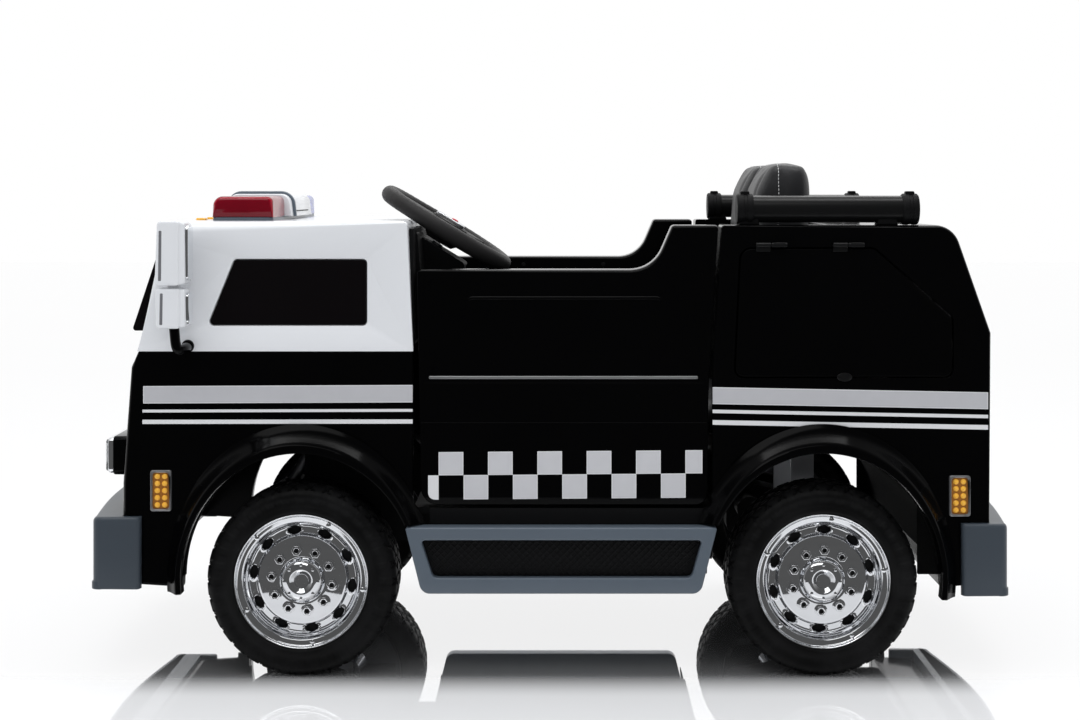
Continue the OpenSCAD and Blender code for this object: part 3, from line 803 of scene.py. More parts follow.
class TRUCK_OT_doors(TruckOperator, bpy.types.Operator):
    """The two doors, each with a raised waist crease, a dull moulding, a joint line, plain
    screws inside, and its checkered film."""
    bl_idname = "truck.doors"
    bl_label = "Doors"

    def execute(self, context):
        outline = rounded(DOOR, 10)
        inner = HALF_W - 44

        def soft(loop):
            x, z = loop.T
            top = 0.22 + 0.36 * np.clip((z - 505) / 20, 0, 1)
            return top * fade(180 - x, 14, 0.45) * fade(x + 226, 14, 0.45)

        panel = plate([outline], inner, HALF_W, 8, 8, soft=soft, steps=6)
        crease = np.array([(111, 492.4), (110, 494), (106, 495.6), (-139, 495.6), (-143, 494),
                           (-144, 492.4)])
        raised = tube(np.insert(crease, 1, HALF_W - 0.8, axis=1), 2.6, flat=(0, 1, 0), n=12)
        line = lambda x0, z0, x1, z1, r: tube([(x0, HALF_W - 0.1, z0), (x1, HALF_W - 0.1, z1)],
                                              r, n=8)
        lines = [line(174, 330.9, -205, 330.9, 0.8), line(168, 383.3, -200, 383.3, 0.5),
                 line(161, 394.8, 153.8, 414.9, 1.1), line(-193.1, 394.8, -181.8, 414.9, 1.1)]
        moulding = plate([box_line(-193, 163, 388.4, 392.4, 1.5)], HALF_W, HALF_W + 2, 0, 1.4)
        size, pitch, top, mid, low = 32.7, 65.3, 293.8, 263.1, 231.0
        cells = []
        for k in range(6):
            x0 = 150.1 - k * pitch
            cells.append((x0, max(x0 - size, -199), mid, top))
            x0 = 117.1 - k * pitch
            if x0 > -190:
                cells.append((x0, x0 - size, low, mid))
        tilted = lambda part: (part[0] + np.outer(0.5 - 0.0077 * (part[0][:, 0] + 199), [0, 0, 1]),
                               part[1])
        rims = [tilted(quad_film(a, b, c, d)) for a, b, c, d in cells]
        squares = [tilted(quad_film(a - 1, b + 1, c + 1, d - 1, thick=0.5))
                   for a, b, c, d in cells]
        end = [(164, mid, 0), (150.1, mid, 0), (150.1, low, 0), (164, low, 9)]
        rims.append(tilted(plate([rounded(end, 5)], HALF_W, HALF_W + 0.3)))
        grip = plate([box_line(-150, -60, 440, 470, 12, 8)], inner - 3, inner + 1, 2, 0)
        heads = [revolved([(0, 0), (3.5, 0), (3.3, 1.2), (0, 1.6)], (x, inner + 0.3, 520.5),
                          side=-1, n=20) for x in (47.3, -79.4)]
        for side in ("left", "right"):
            body = side + "_door"
            for name, slot, material, parts, replaces in (
                    ("_panel", "black_shell", "black gloss", [panel, raised, *lines], [body]),
                    ("_moulding", "chrome", "dull silver", [moulding], []),
                    ("_check_rims", "white_shell", "white film", rims, []),
                    ("_checks", "white_shell", "check film", squares, []),
                    ("_pull", "black_matte", "black grain", [grip, *heads], [])):
                build(body + name, body, slot, material, on_side(side, *parts),
                      replaces=replaces)
        return {"FINISHED"}


class TRUCK_OT_hatches(TruckOperator, bpy.types.Operator):
    """Storage hatches with their hinge leaves and turning latches, and the fixed hinge
    halves on the body."""
    bl_idname = "truck.hatches"
    bl_label = "Hatches"

    def execute(self, context):
        outline = inset(turned_left(rounded(HATCH, 8)), 1.5)
        panel = plate([outline], HALF_W - 10, HALF_W, 1, 1.2)
        dome = revolved([(0, 0), (10, 0), (10, 1), (9, 2), (5, 2.8), (0, 3)], (0, 0, 0), n=40)
        knob = moved(dome, (-387, HALF_W + 0.3, 391), (1, 1, 0.6))
        axis_y, axis_z = HALF_W + 3.3, 566
        leaves, fixed = [], []
        for x in (-290, -392):
            pin = lambda start, length: revolved(
                [(0, 0), (2.4, 0), (3, 0.6), (3, length - 0.6), (2.4, length), (0, length)],
                (start, axis_y, axis_z), "x", 20)
            leaf = plate([box_line(x + 1, x + 20, 557, 565, 1)], HALF_W - 1, HALF_W + 1, 0, 0.6)
            leaves += [pin(x + 0.5, 20), leaf]
            foot = plate([rounded([(x - 18, 569, 1), (x - 3, 569, 1), (x - 0.5, 563, 1),
                                   (x - 21, 563, 1)], 4)], HALF_W, HALF_W + 6, 0, 1)
            fixed += [pin(x - 21, 21), foot]
        for side in ("left", "right"):
            body = side + "_hatch"
            build(body + "_panel", body, "black_shell", "black gloss",
                  on_side(side, panel), replaces=[body])
            build(body + "_leaves", body, "black_shell", "black satin",
                  on_side(side, *leaves))
            build(body + "_latch", body, "black_shell", "black satin",
                  on_side(side, knob))
        build("hinge_feet", "truck", "black_matte", "black satin", both_sides(*fixed),
              replaces=["hatch_hinges"])
        return {"FINISHED"}


class TRUCK_OT_stripes(TruckOperator, bpy.types.Operator):
    """Pale bands along the sides of the front and rear bodies."""
    bl_idname = "truck.stripes"
    bl_label = "Side stripes"

    def execute(self, context):
        front_x, front_end = 541, SEAM_X + 0.5
        rear_x, rear_end = REAR_SEAM_X - 0.5, -577
        wide = [quad_film(front_x - 1, front_end, 357.0, 378.0, -1.5, 0.5),
                quad_film(rear_x, rear_end + 1, 356.3, 376.6, 6.8, 0.5)]
        thin = [quad_film(front_x, front_end, 356.0, 379.0, -1.5),
                quad_film(rear_x, rear_end, 355.3, 377.6, 6.8),
                quad_film(front_x + 1, front_end, 344.1, 347.8, -1.0),
                quad_film(front_x + 1, front_end, 328.9, 334.5, -0.5),
                quad_film(rear_x, rear_end, 343.4, 347.9, 6.9),
                quad_film(rear_x, rear_end, 327.9, 334.1, 6.6)]
        build("wide_bands", "truck", "white_shell", "pale film", both_sides(*wide))
        build("thin_bands", "truck", "white_shell", "white film", both_sides(*thin))
        return {"FINISHED"}


class TRUCK_OT_flares(TruckOperator, bpy.types.Operator):
    """Arch flares: crescents between the arch and a larger ellipse. Across a crescent, from
    the arch outwards, there is a lip, a rounded crest and a slope down to the body."""
    bl_idname = "truck.flares"
    bl_label = "Arch flares"

    def execute(self, context):
        across = np.array([0, 0, 0.02, 0.1, 0.24, 0.28, 0.32, 0.42, 0.54, 0.66, 0.78, 0.9, 0.97,
                           1, 1])
        rise = np.array([0, 22, 24.5, 25.2, 25.8, 26, 25.2, 21.5, 17, 12.5, 8.5, 5.5, 4, 3.2, 0])
        for name, cx, toward, foot, limit in (("front", FRONT_ARCH_X, 1, 108, SEAM_X - 3),
                                              ("rear", REAR_ARCH_X, -1, 101, -209)):
            below = lambda b: math.degrees(math.asin((foot - WHEEL_R) / b))
            inner = oval(0, WHEEL_R, ARCH_A, ARCH_B, below(ARCH_B), 153.8, 90)
            outer = oval(0, WHEEL_R, 176, 204, below(204), 158.7, 90)
            line = inner[:, None] + (outer - inner)[:, None] * across[None, :, None]
            grid = np.zeros((*line.shape[:2], 3))
            x = cx + toward * line[..., 0]
            clear = np.maximum(x * toward, limit * toward) * toward
            grid[..., 0] = np.where(line[..., 1] > 219, clear, x)
            grid[..., 1] = HALF_W + rise
            grid[..., 2] = line[..., 1]
            surface, faces = lattice(grid, wrap_v=True)
            ends = [np.arange(15)[None], (len(surface) - 15 + np.arange(15))[None]]
            build(name + "_arch_flares", "truck", "black_shell", "black gloss",
                  both_sides((surface, faces + ends)), replaces=[name + "_flares"])
        return {"FINISHED"}


class TRUCK_OT_steps(TruckOperator, bpy.types.Operator):
    """Side steps: slate frames with a black diamond mesh in their recess."""
    bl_idname = "truck.steps"
    bl_label = "Side steps"

    def execute(self, context):
        rim = rounded([(193, 196, 3), (171, 109, 14), (-195, 109, 14), (-217, 196, 3)], 8)
        foot, top = 130, 179
        rear, front = (-183, -197), (156, 172)
        hole = rounded([(front[1], top, 4), (front[0], foot, 8), (rear[0], foot, 8),
                        (rear[1], top, 4)], 6)
        face = plate([rim, hole], 285, 300, 0, 2.8, steps=6)
        backing = plate([rim], HALF_W, 285, 1, 0)
        rib = plate([[(-195, 152), (155, 152), (155, 192), (-195, 192)]], HALF_W - 3, HALF_W)
        build("step_frames", "truck", "slate_shell", "slate satin",
              both_sides(face, backing, rib), replaces=["side_steps"])
        panel = plate([inset(turned_left(hole), 0.4)], 284, 288, 0, 0.8)
        # Mesh: bars at +-45 degrees, each cut where it meets the sloping ends.
        margin, pitch, bar_y, bar_r = 3, 9.0, 288.2, 1.3
        z = np.linspace(foot + 2, top - 2, 12)
        first = np.interp(z, (foot, top), rear) + margin
        last = np.interp(z, (foot, top), front) - margin
        bars = []
        for slope in (1, -1):
            for x in np.arange(-250, 230, pitch):
                line = x + slope * (z - z[0])
                keep = (line > first) & (line < last)
                if keep.sum() > 1:
                    points = np.stack([line[keep], np.full(keep.sum(), bar_y), z[keep]], 1)
                    bars.append(tube(points[[0, -1]], bar_r, n=5))
        build("step_mesh", "truck", "black_matte", "black grain",
              both_sides(panel, *bars))
        return {"FINISHED"}


class TRUCK_OT_bumpers(TruckOperator, bpy.types.Operator):
    """Bumpers bowed across each end and wrapped round the sides. The bow's depth falls with
    the cosine of the turn from its middle to its corners. A lip runs along its foot."""
    bl_idname = "truck.bumpers"
    bl_label = "Bumpers"

    def execute(self, context):
        reach = HALF_W + 12
        t = np.linspace(-math.pi / 2, math.pi / 2, 41)

        def bow(corner_x, tip_x):
            return sharp(np.stack([corner_x + (tip_x - corner_x) * np.cos(t),
                                   np.linspace(-(reach - 14), reach - 14, 41)], 1)[1:-1])

        for name, end, side_x, corner_x, tip_x, body_x, lo, hi in (
                ("front", 1, 543, 608, 630, 569, 112, 207),
                ("rear", -1, 541, 603, 626, 579.5, 103, 198)):
            main = [(side_x, -reach, 6), (corner_x - 2, -reach, 12), *bow(corner_x - 2, tip_x - 2),
                    (corner_x - 2, reach, 12), (side_x, reach, 6), (side_x, HALF_W, 0),
                    (body_x, HALF_W, 0), (body_x, -HALF_W, 0), (side_x, -HALF_W, 0)]
            lip = [(corner_x - 14, -reach + 0.4, 1), (corner_x, -reach + 0.4, 12),
                   *bow(corner_x, tip_x), (corner_x, reach - 0.4, 12),
                   (corner_x - 14, reach - 0.4, 1)]
            turned = lambda line: rounded([(end * x, y, r) for x, y, r in line], 6)
            soft = lambda loop: np.where(abs(loop[:, 1]) < HALF_W + 0.5,
                                         np.where(abs(loop[:, 0]) > body_x + 2, 1.0, 0.0),
                                         fade(abs(loop[:, 0]) - side_x, 14, 0.5))
            # The bumpers take the slate darkened as painted shade.
            build(name + "_bumper_shell", "truck", "slate_shell", "slate dark",
                  plate([turned(main)], lo, hi, 3, 6, "z", soft),
                  plate([turned(lip)], lo, lo + 10, 1, 1, "z"),
                  replaces=[name + "_bumper"])
        return {"FINISHED"}


class TRUCK_OT_face(TruckOperator, bpy.types.Operator):
    """Slate fascia with a dark slatted grille, and the headlamps on it."""
    bl_idname = "truck.face"
    bl_label = "Grille and headlamps"

    def execute(self, context):
        panel = rounded([(549, 424, 0), (552.5, 424, 2), (560.8, 404, 8), (566, 370, 0),
                         (569.6, 322, 0), (575, 250, 0), (575, 236, 2), (569.2, 236, 0),
                         (569.2, 250, 0), (564.2, 322, 0), (558.2, 401, 0)], 6)
        build("fascia", "truck", "slate_shell", "slate satin",
              plate([panel], -235, 235, 0.8, 0.8), replaces=["grille"])
        front = lambda z: np.interp(z, [250, 322, 370, 404], [575, 569.6, 566, 561])
        slats = []
        for z in np.arange(262, 400, 19):
            x = front(z)
            half = 108 - (z - 262) * 0.08
            path = [(x, -half, z), (x + 2.5, -half + 6, z), (x + 2.5, half - 6, z), (x, half, z)]
            slats.append(tube(path, 4.6, flat=(0, 0, 1), n=12))
        bed = plate([rounded([(-114, 252, 8), (114, 252, 8), (102, 402, 8), (-102, 402, 8)])],
                    556, 566, 0, 0, "x")
        bed = (bed[0] + np.stack([front(bed[0][:, 2]) - 565.4, 0 * bed[0][:, 1],
                                  0 * bed[0][:, 2]], 1), bed[1])
        build("grille_slats", "truck", "black_matte", "black gloss", *slats, bed)
        shell = plate([box_line(125, 235, 255, 307, 8, 8)], 568, 591, 0, 2.5, "x")
        build("headlamp_shells", "truck", "black_matte", "black gloss",
              both_sides(shell), replaces=["headlamp_housings"])
        rim = box_line(127, 233, 257, 305, 7, 8)
        hole = inset(turned_left(rim), 4)
        bezel = plate([rim, hole], 590, 598, 0, 2, "x")
        bowls, bulbs = [], []
        for y in (155, 204):
            bowls.append(revolved([(0, 1), (7, 1.6), (13, 3), (19, 6.8), (21, 7.5), (21.5, 6.5),
                                   (20, 0), (0, 0)], (590.5, y, 281), "x", 40))
            bulbs.append(revolved([(0, 0), (5, 0), (5, 5), (3.5, 8), (0, 9)], (591, y, 281),
                                  "x", 20))
        build("headlamp_bezels", "truck", "chrome", "chrome", both_sides(bezel, *bowls),
              replaces=["headlamp_lenses"])
        outer = inset(turned_left(rim), 3)
        cover = plate([outer], 599.3, 601, 0, 0.8, "x")
        edge = plate([outer, inset(outer, 3)], 596, 599.5, along="x")
        build("headlamp_fronts", "truck", "clear_lens", "clear cover",
              both_sides(cover, edge))
        build("headlamp_bulbs", "truck", "clear_lens", "clear lens", both_sides(*bulbs))
        return {"FINISHED"}


class TRUCK_OT_markers(TruckOperator, bpy.types.Operator):
    """Amber side markers with two rows of domed lights in bright bezels, roof markers and
    tail lamps."""
    bl_idname = "truck.markers"
    bl_label = "Markers and tail lamps"

    def execute(self, context):
        bezels, fields, domes = [], [], []
        for x, z in ((517, 241), (-539, 234)):
            rim = box_line(x - 14, x + 14, z - 27, z + 27, 3, 5)
            inner = inset(turned_left(rim), 3)
            bezels.append(plate([rim, inner], HALF_W, HALF_W + 4.6, 0, 1.2))
            fields.append(plate([inner], HALF_W, HALF_W + 2.0, 0, 0.3))
            for row in range(5):
                for side in (-1, 1):
                    centre = (x + side * 4.9, HALF_W + 1.8, z + (row - 2) * 9.4)
                    domes.append(revolved([(0, 0), (3.9, 0), (3.6, 1.3), (2.6, 2.3), (1.2, 2.9),
                                           (0, 3)], centre, n=16))
        build("marker_bezels", "truck", "chrome", "dull silver", both_sides(*bezels),
              replaces=["side_markers"])
        build("marker_fields", "truck", "amber_lens", "amber bed", both_sides(*fields))
        build("marker_lights", "truck", "amber_lens", "amber lens", both_sides(*domes))
        roof = [plate([box_line(478, 492, y - 9, y + 9, 3, 5)], ROOF_Z, ROOF_Z + 3, 0, 2, "z")
                for y in range(-160, 161, 80)]
        build("roof_lights", "truck", "amber_lens", "amber lens", *roof,
              replaces=["roof_markers"])
        lamp = revolved([(0, 0), (14, 0), (14, 9), (12.5, 12.5), (8, 14.5), (0, 15)],
                        (-597, 205, 170), "x", 40, side=-1)
        build("tail_lights", "truck", "red_lens", "tail lens", both_sides(lamp),
              replaces=["tail_lamps"])
        return {"FINISHED"}


class TRUCK_OT_light_bar(TruckOperator, bpy.types.Operator):
    """Light bar: slate foot, red and blue lenses, and the white centre with its hoops."""
    bl_idname = "truck.light_bar"
    bl_label = "Light bar"

    def execute(self, context):
        low, high = span("light_bar_base")
        x0, x1, foot = low[0], high[0], high[2]
        half = high[1]
        base = plate([box_line(x0, x1, -half, half, 8, 8)], low[2], foot, 0, 1, "z")
        build("light_bar_foot", "truck", "slate_shell", "slate satin", base,
              replaces=["light_bar_base"])
        lens_line = rounded([(x1, foot, 0), (x1 - 0.5, 630, 13), (x0 + 0.5, 630, 8),
                             (x0, foot, 0)], 8)
        rise = lambda loop: fade(loop[:, 1] - foot, 12, 0.15)
        dome = plate([lens_line], 110, half, 0, 7.5, soft=rise, steps=7)
        build("left_light", "truck", "red_lens", "red lens", dome, replaces=["red_lens"])
        build("right_light", "truck", "blue_lens", "blue lens",
              moved(dome, scale=(1, -1, 1)), replaces=["blue_lens"])
        box = lambda grow, top: rounded([(x1 + grow, foot, 0), (x1 + grow - 4, top, 14),
                                         (x0 - grow - 6, top, 14), (x0 - grow - 10, foot, 0)], 8)
        hoop = rounded([(x1 + 4, foot, 0), (x1, 637, 20), (x0 - 10, 637, 20),
                        (x0 - 14, foot, 0)], 8)
        white = plate([box(0, 633)], -109, 109, 2, 2)
        build("light_bar_box", "truck", "white_shell", "white gloss", white,
              replaces=["light_bar_centre"])
        build("light_bar_hoops", "truck", "slate_shell", "slate satin",
              plate([hoop], 79, 89, 2.5, 2.5))
        slot = plate([box_line(x0 - 9.8, x0 - 7, 608, 609.5)], -70, 70)
        build("light_bar_slot", "truck", "black_matte", "black grain", slot)
        return {"FINISHED"}


class TRUCK_OT_mirrors(TruckOperator, bpy.types.Operator):
    """Two-part door mirrors on bent black arms."""
    bl_idname = "truck.mirrors"
    bl_label = "Mirrors"

    def execute(self, context):
        y = 291
        upper = rounded([(481, 515, 4), (513, 515, 5), (510, 599, 6), (481, 599, 5)], 8)
        lower = rounded([(481, 459, 4), (512, 459, 5), (513, 511, 4), (481, 511, 4)], 8)
        hood_up = rounded([(473.5, 517, 3), (486, 515.5, 3), (486, 598.5, 5), (474.5, 597, 6)], 6)
        hood_low = rounded([(473.5, 461, 3), (486, 459.5, 3), (486, 510.5, 3), (474.5, 510, 4)], 6)
        link = revolved([(0, 0), (8, 0), (8, 8), (0, 8)], (493, y + 21, 509), "z", 28)
        build("mirror_shells", "truck", "white_shell", "white gloss",
              both_sides(plate([upper], y, y + 48, 3.5, 3.5, steps=6),
                         plate([lower], y + 3, y + 45, 3.5, 3.5, steps=6),
                         plate([hood_up], y + 2, y + 46, 3, 3),
                         plate([hood_low], y + 5, y + 43, 3, 3), link),
              replaces=["mirror_housings"])
        strips = [plate([rounded([(x, z0, 1.2), (x + 4, z0, 1.2), (x + 3.2, z1, 1.2),
                                  (x - 0.6, z1, 1.2)], 4)], lo, hi, 0.4, 0.4)
                  for x, z0, z1, lo, hi in ((504, 521, 586, y - 0.2, y + 48.2),
                                            (503, 464, 505, y + 2.8, y + 45.2))]
        build("mirror_bands", "truck", "black_matte", "grey case", both_sides(*strips))
        faces = [plate([box_line(lo, hi, z0, z1, 7, 8)], 470.6, 473.8, 0.8, 0, "x")
                 for lo, hi, z0, z1 in ((y + 6, y + 42, 522, 592), (y + 9, y + 39, 465, 505))]
        build("mirror_faces", "truck", "mirror", "mirror", both_sides(*faces),
              replaces=["mirror_glass"])
        out = np.array([(482, HALF_W - 2, 431), (482, HALF_W + 12, 431), (483, y + 10, 429.5),
                        (486, y + 17, 429), (489.5, y + 20.5, 432), (491, y + 21, 440),
                        (492, y + 21, 452), (493, y + 21, 464)], float)
        t = np.linspace(0, len(out) - 1, 40)
        smooth = np.stack([np.interp(t, np.arange(len(out)), out[:, k]) for k in range(3)], 1)
        kernel = np.ones(5) / 5
        padded = np.concatenate([smooth[:1]] * 2 + [smooth] + [smooth[-1:]] * 2)
        smooth = np.stack([np.convolve(padded[:, k], kernel, "valid") for k in range(3)], 1)
        arm = tube(smooth, 6.6, flat=(1, 0, 0.01), n=18)
        rose = revolved([(0, 0), (8.5, 0), (8, 2.5), (7, 4), (0, 5)], (482, HALF_W, 432),
                        n=36)
        build("mirror_brackets", "truck", "black_matte", "black gloss",
              both_sides(arm, rose), replaces=["mirror_arms"])
        return {"FINISHED"}


class TRUCK_OT_rack(TruckOperator, bpy.types.Operator):
    """Rack tubes on the deck's edges, with capped ends, tabs and feet."""
    bl_idname = "truck.rack"
    bl_label = "Rack"

    def execute(self, context):
        y, z = 252, DECK_Z + 21
        x0, x1 = -488, -246
        body = revolved([(0, 0), (17, 0), (18, 1), (18, 235), (17, 236), (0, 236)],
                        (x0 + 3, y, z), "x", 48)
        build("rack_pipes", "truck", "black_matte", "black satin", both_sides(body),
              replaces=["rack_tubes"])
        pieces = []
        for x in (x0, x1 - 22):
            pieces.append(revolved([(0, 0), (19, 0), (20.6, 1.5), (20.9, 3), (20.9, 8), (20, 8.6),
                                    (20, 12.6), (20.9, 13.2), (20.9, 19), (20.6, 20.5), (19, 22),
                                    (0, 22)], (x, y, z), "x", 48))
            pieces.append(plate([box_line(x + 5, x + 17, z + 16, z + 24, 2)], y - 6, y + 6, 1, 1))
        for x in (-262, -446):
            pieces.append(plate([rounded([(x - 14, DECK_Z, 0), (x + 14, DECK_Z, 0),
                                          (x + 12, z - 10, 3), (x - 12, z - 10, 3)], 4)],
                                y - 12, y + 12, 2, 2))
        build("rack_mounts", "truck", "black_matte", "black grain",
              both_sides(*pieces), replaces=["rack_clamps"])
        return {"FINISHED"}


def swollen(name, part, swell):
    """A pad after a short cloth simulation: remeshed evenly, blown up, with each point's
    travel capped, then smoothed."""
    points, faces = part
    mesh = bpy.data.meshes.new(name)
    mesh.from_pydata((points * MM).tolist(), [], [f for g in faces for f in g.tolist()])
    pad = bpy.data.objects.new(name, mesh)
    bpy.context.scene.collection.objects.link(pad)
    bpy.context.view_layer.objects.active = pad
    remesh = pad.modifiers.new("even", "REMESH")
    remesh.mode = "VOXEL"
    remesh.voxel_size = 0.0065
    bpy.ops.object.modifier_apply(modifier="even")
    rest = np.zeros(len(pad.data.vertices) * 3)
    pad.data.vertices.foreach_get("co", rest)
    cloth = pad.modifiers.new("swell", "CLOTH")
    cloth.settings.quality = 4
    cloth.settings.tension_stiffness = 12
    cloth.settings.compression_stiffness = 12
    cloth.settings.use_pressure = True
    cloth.settings.uniform_pressure_force = 4
    cloth.settings.effector_weights.gravity = 0
    cloth.point_cache.frame_start, cloth.point_cache.frame_end = 1, 20
    for step in range(1, 21):
        bpy.context.scene.frame_set(step)
    bpy.ops.object.modifier_apply(modifier="swell")
    bpy.context.scene.frame_set(1)
    now = np.zeros_like(rest)
    pad.data.vertices.foreach_get("co", now)
    move = (now - rest).reshape(-1, 3)
    length = np.linalg.norm(move, axis=1, keepdims=True)
    cap = swell * MM
    limited = move * np.minimum(1, cap / np.maximum(length, 1e-9))
    pad.data.vertices.foreach_set("co", (rest.reshape(-1, 3) + limited).ravel())
    work = bmesh.new()
    work.from_mesh(pad.data)
    for _ in range(3):
        bmesh.ops.smooth_vert(work, verts=work.verts, factor=0.5, use_axis_x=True,
                              use_axis_y=True, use_axis_z=True)
    work.to_mesh(pad.data)
    work.free()
    pad.data.polygons.foreach_set("use_smooth", [True] * len(pad.data.polygons))
    return pad


def mirrored_copy(source, name):
    """The same mesh on the other side, its faces turned back outwards."""
    mesh = source.data.copy()
    points = np.zeros(len(mesh.vertices) * 3)
    mesh.vertices.foreach_get("co", points)
    points[1::3] *= -1
    mesh.vertices.foreach_set("co", points)
    mesh.flip_normals()
    copy = bpy.data.objects.new(name, mesh)
    for modifier in source.modifiers:
        made = copy.modifiers.new(modifier.name, modifier.type)
        made.levels = made.render_levels = modifier.levels
    return copy


def stitches(path, flat, length=3.2, gap=1.7, radius=0.55):
    """Short threads along a path, each a thin tube lying on it."""
    step = np.linalg.norm(np.diff(path, axis=0), axis=1)
    run = np.concatenate([[0], np.cumsum(step)])
    starts = np.arange(0, run[-1] - length, length + gap)
    at = lambda s: np.stack([np.interp(s, run, path[:, k]) for k in range(3)], 1)
    return [tube(at(s + np.linspace(0, length, 3)), [radius * 0.6, radius, radius * 0.6],
                 flat=flat, n=5) for s in starts]


class TRUCK_OT_seats(TruckOperator, bpy.types.Operator):
    """Two padded seats: swollen cushions and backs with sewn channels. Each back has a side
    seam and a line of white stitches beside it."""
    bl_idname = "truck.seats"
    bl_label = "Seats"

    def execute(self, context):
        swell = context.scene.truck_sizes.seat_swell
        low, high = span("left_seat_back")
        mid_y = (low[1] + high[1]) / 2
        half = (high[1] - low[1]) / 2
        keep = 5
        back_line = rounded([(-257, 308, 6), (-257, 350, 10), (-284, 640, 30), (-302, 682, 10),
                             (-322, 678, 8), (-348, 676, 5), (-350, 640, 20), (-343, 308, 6)], 8)
        cushion_line = rounded([(-84, 308, 8), (-84, 338, 16), (-238, 343, 14), (-245, 308, 5)], 8)
        back = plate([back_line], mid_y - half + keep, mid_y + half - keep, 16, 16, steps=5)
        cushion = plate([cushion_line], mid_y - half + keep, mid_y + half - keep, 12, 12, steps=5)
        for kind, part, fill in (("seat_back", back, 0.7), ("seat_cushion", cushion, 0.75)):
            pad = swollen("left_" + kind + "_pad", part, swell)
            self.channels(pad, kind, mid_y)
            smooth = pad.modifiers.new("smooth", "SUBSURF")
            smooth.levels = smooth.render_levels = 1
            other = mirrored_copy(pad, "right_" + kind + "_pad")
            for piece, side in ((pad, "left"), (other, "right")):
                place(piece, "truck", "leatherette", [side + "_" + kind])
        self.trim(mid_y, half)
        return {"FINISHED"}

    def channels(self, pad, kind, mid_y):
        """Presses two sewn channels into the pad's face and one across: each lowers the
        surface by a Gaussian of the distance to its line."""
        points = np.zeros(len(pad.data.vertices) * 3)
        pad.data.vertices.foreach_get("co", points)
        p = points.reshape(-1, 3) / MM
        panel = 52
        side = abs(abs(p[:, 1] - mid_y) - panel)
        inside = abs(p[:, 1] - mid_y) < panel
        if kind == "seat_back":
            facing = np.clip((p[:, 0] + 320) / 14, 0, 1)
            cross = np.minimum(abs(p[:, 2] - 470), abs(p[:, 2] - 575))
            depth = 5 * np.exp(-(side / 5) ** 2) + 3 * inside * np.exp(-(cross / 5) ** 2)
            p[:, 0] -= facing * depth
            # Seam that joins the face panel to the side panel.
            rim = np.exp(-((p[:, 0] + 315) / 3.0) ** 2) * np.clip((abs(p[:, 1] - mid_y) - 60) / 15,
                                                                 0, 1)
            p[:, 1] -= np.sign(p[:, 1] - mid_y) * rim * 2.5
        else:
            facing = np.clip((p[:, 2] - 325) / 10, 0, 1)
            cross = np.minimum(abs(p[:, 0] + 135), abs(p[:, 0] + 190))
            depth = 4 * np.exp(-(side / 5) ** 2) + 2.5 * inside * np.exp(-(cross / 5) ** 2)
            p[:, 2] -= facing * depth
        pad.data.vertices.foreach_set("co", (p * MM).ravel())

    def trim(self, mid_y, half):
        """White stitches round each back beside its seam, hugging the pad's sides."""
        pad = bpy.data.objects["left_seat_back_pad"]
        tree = surface_of(pad)
        side = half + 12
        arc = np.linspace(0, 1, 160)
        # Down one side, over the top and down the other.
        z = np.interp(arc, [0, 0.38, 0.62, 1], [420, 655, 655, 420])
        out = np.interp(arc, [0, 0.38, 0.42, 0.58, 0.62, 1], [-side, -side, -60, 60, side, side])
        top = np.interp(arc, [0, 0.36, 0.42, 0.58, 0.64, 1], [0, 0, 40, 40, 0, 0])
        start = np.stack([-306 + (z - 560) * -0.13 * (z < 560), mid_y + out, z + top], 1)
        parts = stitches(laid_on(tree, start, 0.4), (1, 0, 0.05))
        build("seat_stitching", "truck", "seat_cover", "thread", both_sides(*parts))


def surface_of(piece):
    """A search tree over a piece's mesh."""
    return BVHTree.FromPolygons([v.co for v in piece.data.vertices],
                                [list(p.vertices) for p in piece.data.polygons])


def laid_on(tree, points, lift):
    """Points moved to the nearest place on a surface, lifted off it a little."""
    placed = []
    for point in points * MM:
        spot, normal, _, _ = tree.find_nearest(point.tolist())
        placed.append(np.array(spot + normal * lift * MM) / MM)
    return np.array(placed)


